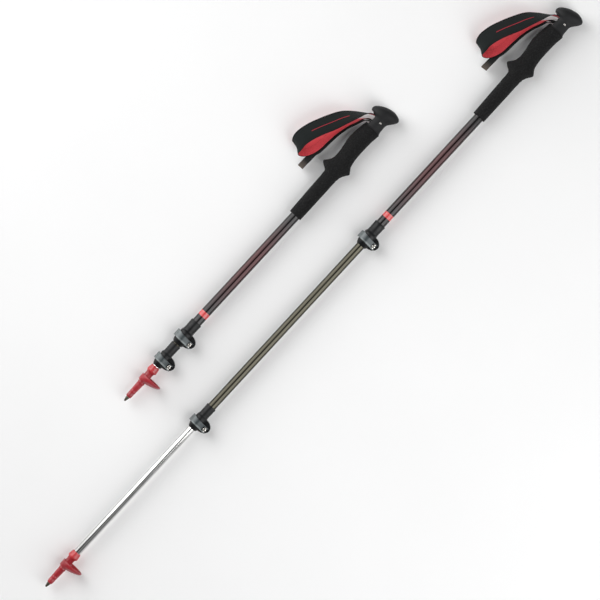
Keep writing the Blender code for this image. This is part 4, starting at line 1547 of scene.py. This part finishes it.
@dataclass(frozen=True)
class Studio:
    """Pale floor, soft light and the camera straight above the pair."""

    centre: tuple[float, float] = (-0.0134, -0.0784)
    roll: float = -47.27
    field_width: float = 1.0362
    lens: float = 135.0
    sensor: float = 36.0
    aim_height: float = 0.018
    sky: tuple[Point, ...] = ((0.0, 0.5), (0.16, 0.08), (0.26, 0.4), (0.46, 0.4), (0.52, 0.03), (0.8, 0.03),
                              (0.86, 1.3), (1.0, 1.6))
    sky_strength: float = 0.8
    end_level: float = 0.85

    def build(self) -> None:
        """Make the floor, the lights, the surroundings and the camera."""
        self._floor()
        self._light("softbox_left", (0.0, 1.9, 1.35), 52.0, (3.4, 1.7))
        self._light("softbox_right", (0.1, -1.9, 1.7), 44.0, (3.0, 1.2))
        self._surroundings()
        self._camera()

    def _floor(self) -> None:
        """A wide, nearly white floor."""
        bm = bmesh.new()
        bmesh.ops.create_grid(bm, x_segments=8, y_segments=8, size=6.0)
        mesh = bpy.data.meshes.new("floor")
        bm.to_mesh(mesh)
        bm.free()
        floor = bpy.data.objects.new("floor", mesh)
        graph = ShaderGraph("pale_floor")
        cloud = graph.noise(graph.place((3.0, 3.0, 3.0)))
        graph.join(graph.ramp(cloud, [(0.3, (0.92, 0.92, 0.92)), (0.7, (0.94, 0.94, 0.94))]),
                   graph.shader.inputs["Base Color"])
        graph.set(Roughness=0.9)
        mesh.materials.append(graph.material)
        bpy.context.scene.collection.objects.link(floor)

    def _light(self, name: str, place: Sequence[float], power: float, size: tuple[float, float]) -> None:
        """A rectangular softbox that faces the pair.

        Args:
            name: the light's name.
            place: its middle.
            power: its power in watts.
            size: its length and width.
        """
        data = bpy.data.lights.new(name, "AREA")
        data.shape = "RECTANGLE"
        data.size, data.size_y = size
        data.energy = power
        light = bpy.data.objects.new(name, data)
        light.location = place
        light.rotation_euler = (Vector((0, 0, 0)) - Vector(place)).to_track_quat("-Z", "X").to_euler()
        bpy.context.scene.collection.objects.link(light)

    def _surroundings(self) -> None:
        """Soft surroundings: bright to one side, darker straight above, plain beyond the poles' ends.

        The sky field holds (share of the way from -y to +y, level) pairs.
        """
        world = bpy.data.worlds.new("studio")
        world.use_nodes = True
        tree = world.node_tree
        coordinates, split, spread, ramp, size, ends, blend = (
            tree.nodes.new("ShaderNode" + kind) for kind in
            ("TexCoord", "SeparateXYZ", "MapRange", "ValToRGB", "Math", "MapRange", "Mix"))
        spread.inputs["From Min"].default_value = -1.0
        elements = ramp.color_ramp.elements
        while len(elements) < len(self.sky):
            elements.new(0.5)
        for element, (position, level) in zip(elements, self.sky):
            element.position = position
            element.color = (level, level, level, 1.0)
        size.operation = "ABSOLUTE"
        ends.inputs["From Min"].default_value = 0.9
        ends.inputs["From Max"].default_value = 0.96
        blend.data_type = "RGBA"
        first, second, blended = blend.inputs[6], blend.inputs[7], blend.outputs[2]
        second.default_value = (self.end_level, self.end_level, self.end_level, 1.0)
        background = tree.nodes["Background"]
        background.inputs["Strength"].default_value = self.sky_strength
        for output, target in (
                (coordinates.outputs["Generated"], split.inputs["Vector"]),
                (split.outputs["Y"], spread.inputs["Value"]), (spread.outputs["Result"], ramp.inputs["Fac"]),
                (split.outputs["X"], size.inputs[0]), (size.outputs[0], ends.inputs["Value"]),
                (ends.outputs["Result"], blend.inputs["Factor"]), (ramp.outputs["Color"], first),
                (blended, background.inputs["Color"])):
            tree.links.new(output, target)
        bpy.context.scene.world = world

    def _camera(self) -> None:
        """A long lens that looks straight down."""
        data = bpy.data.cameras.new("camera")
        data.lens, data.sensor_width = self.lens, self.sensor
        camera = bpy.data.objects.new("camera", data)
        distance = self.field_width * self.lens / self.sensor
        camera.location = (*self.centre, self.aim_height + distance)
        camera.rotation_euler = (0.0, 0.0, math.radians(self.roll))
        bpy.context.scene.collection.objects.link(camera)
        bpy.context.scene.camera = camera
        bpy.context.scene.view_settings.view_transform = "Standard"


def main() -> None:
    """Build both poles and the studio."""
    logging.basicConfig(level=logging.INFO, format="%(name)s: %(message)s")
    finishes = Finishes.build()
    for side in Side:
        Pole(side, finishes).build()
        LOG.info("%s pole done", side.value)
    Studio().build()
    LOG.info("studio done")


if __name__ == "__main__":
    main()
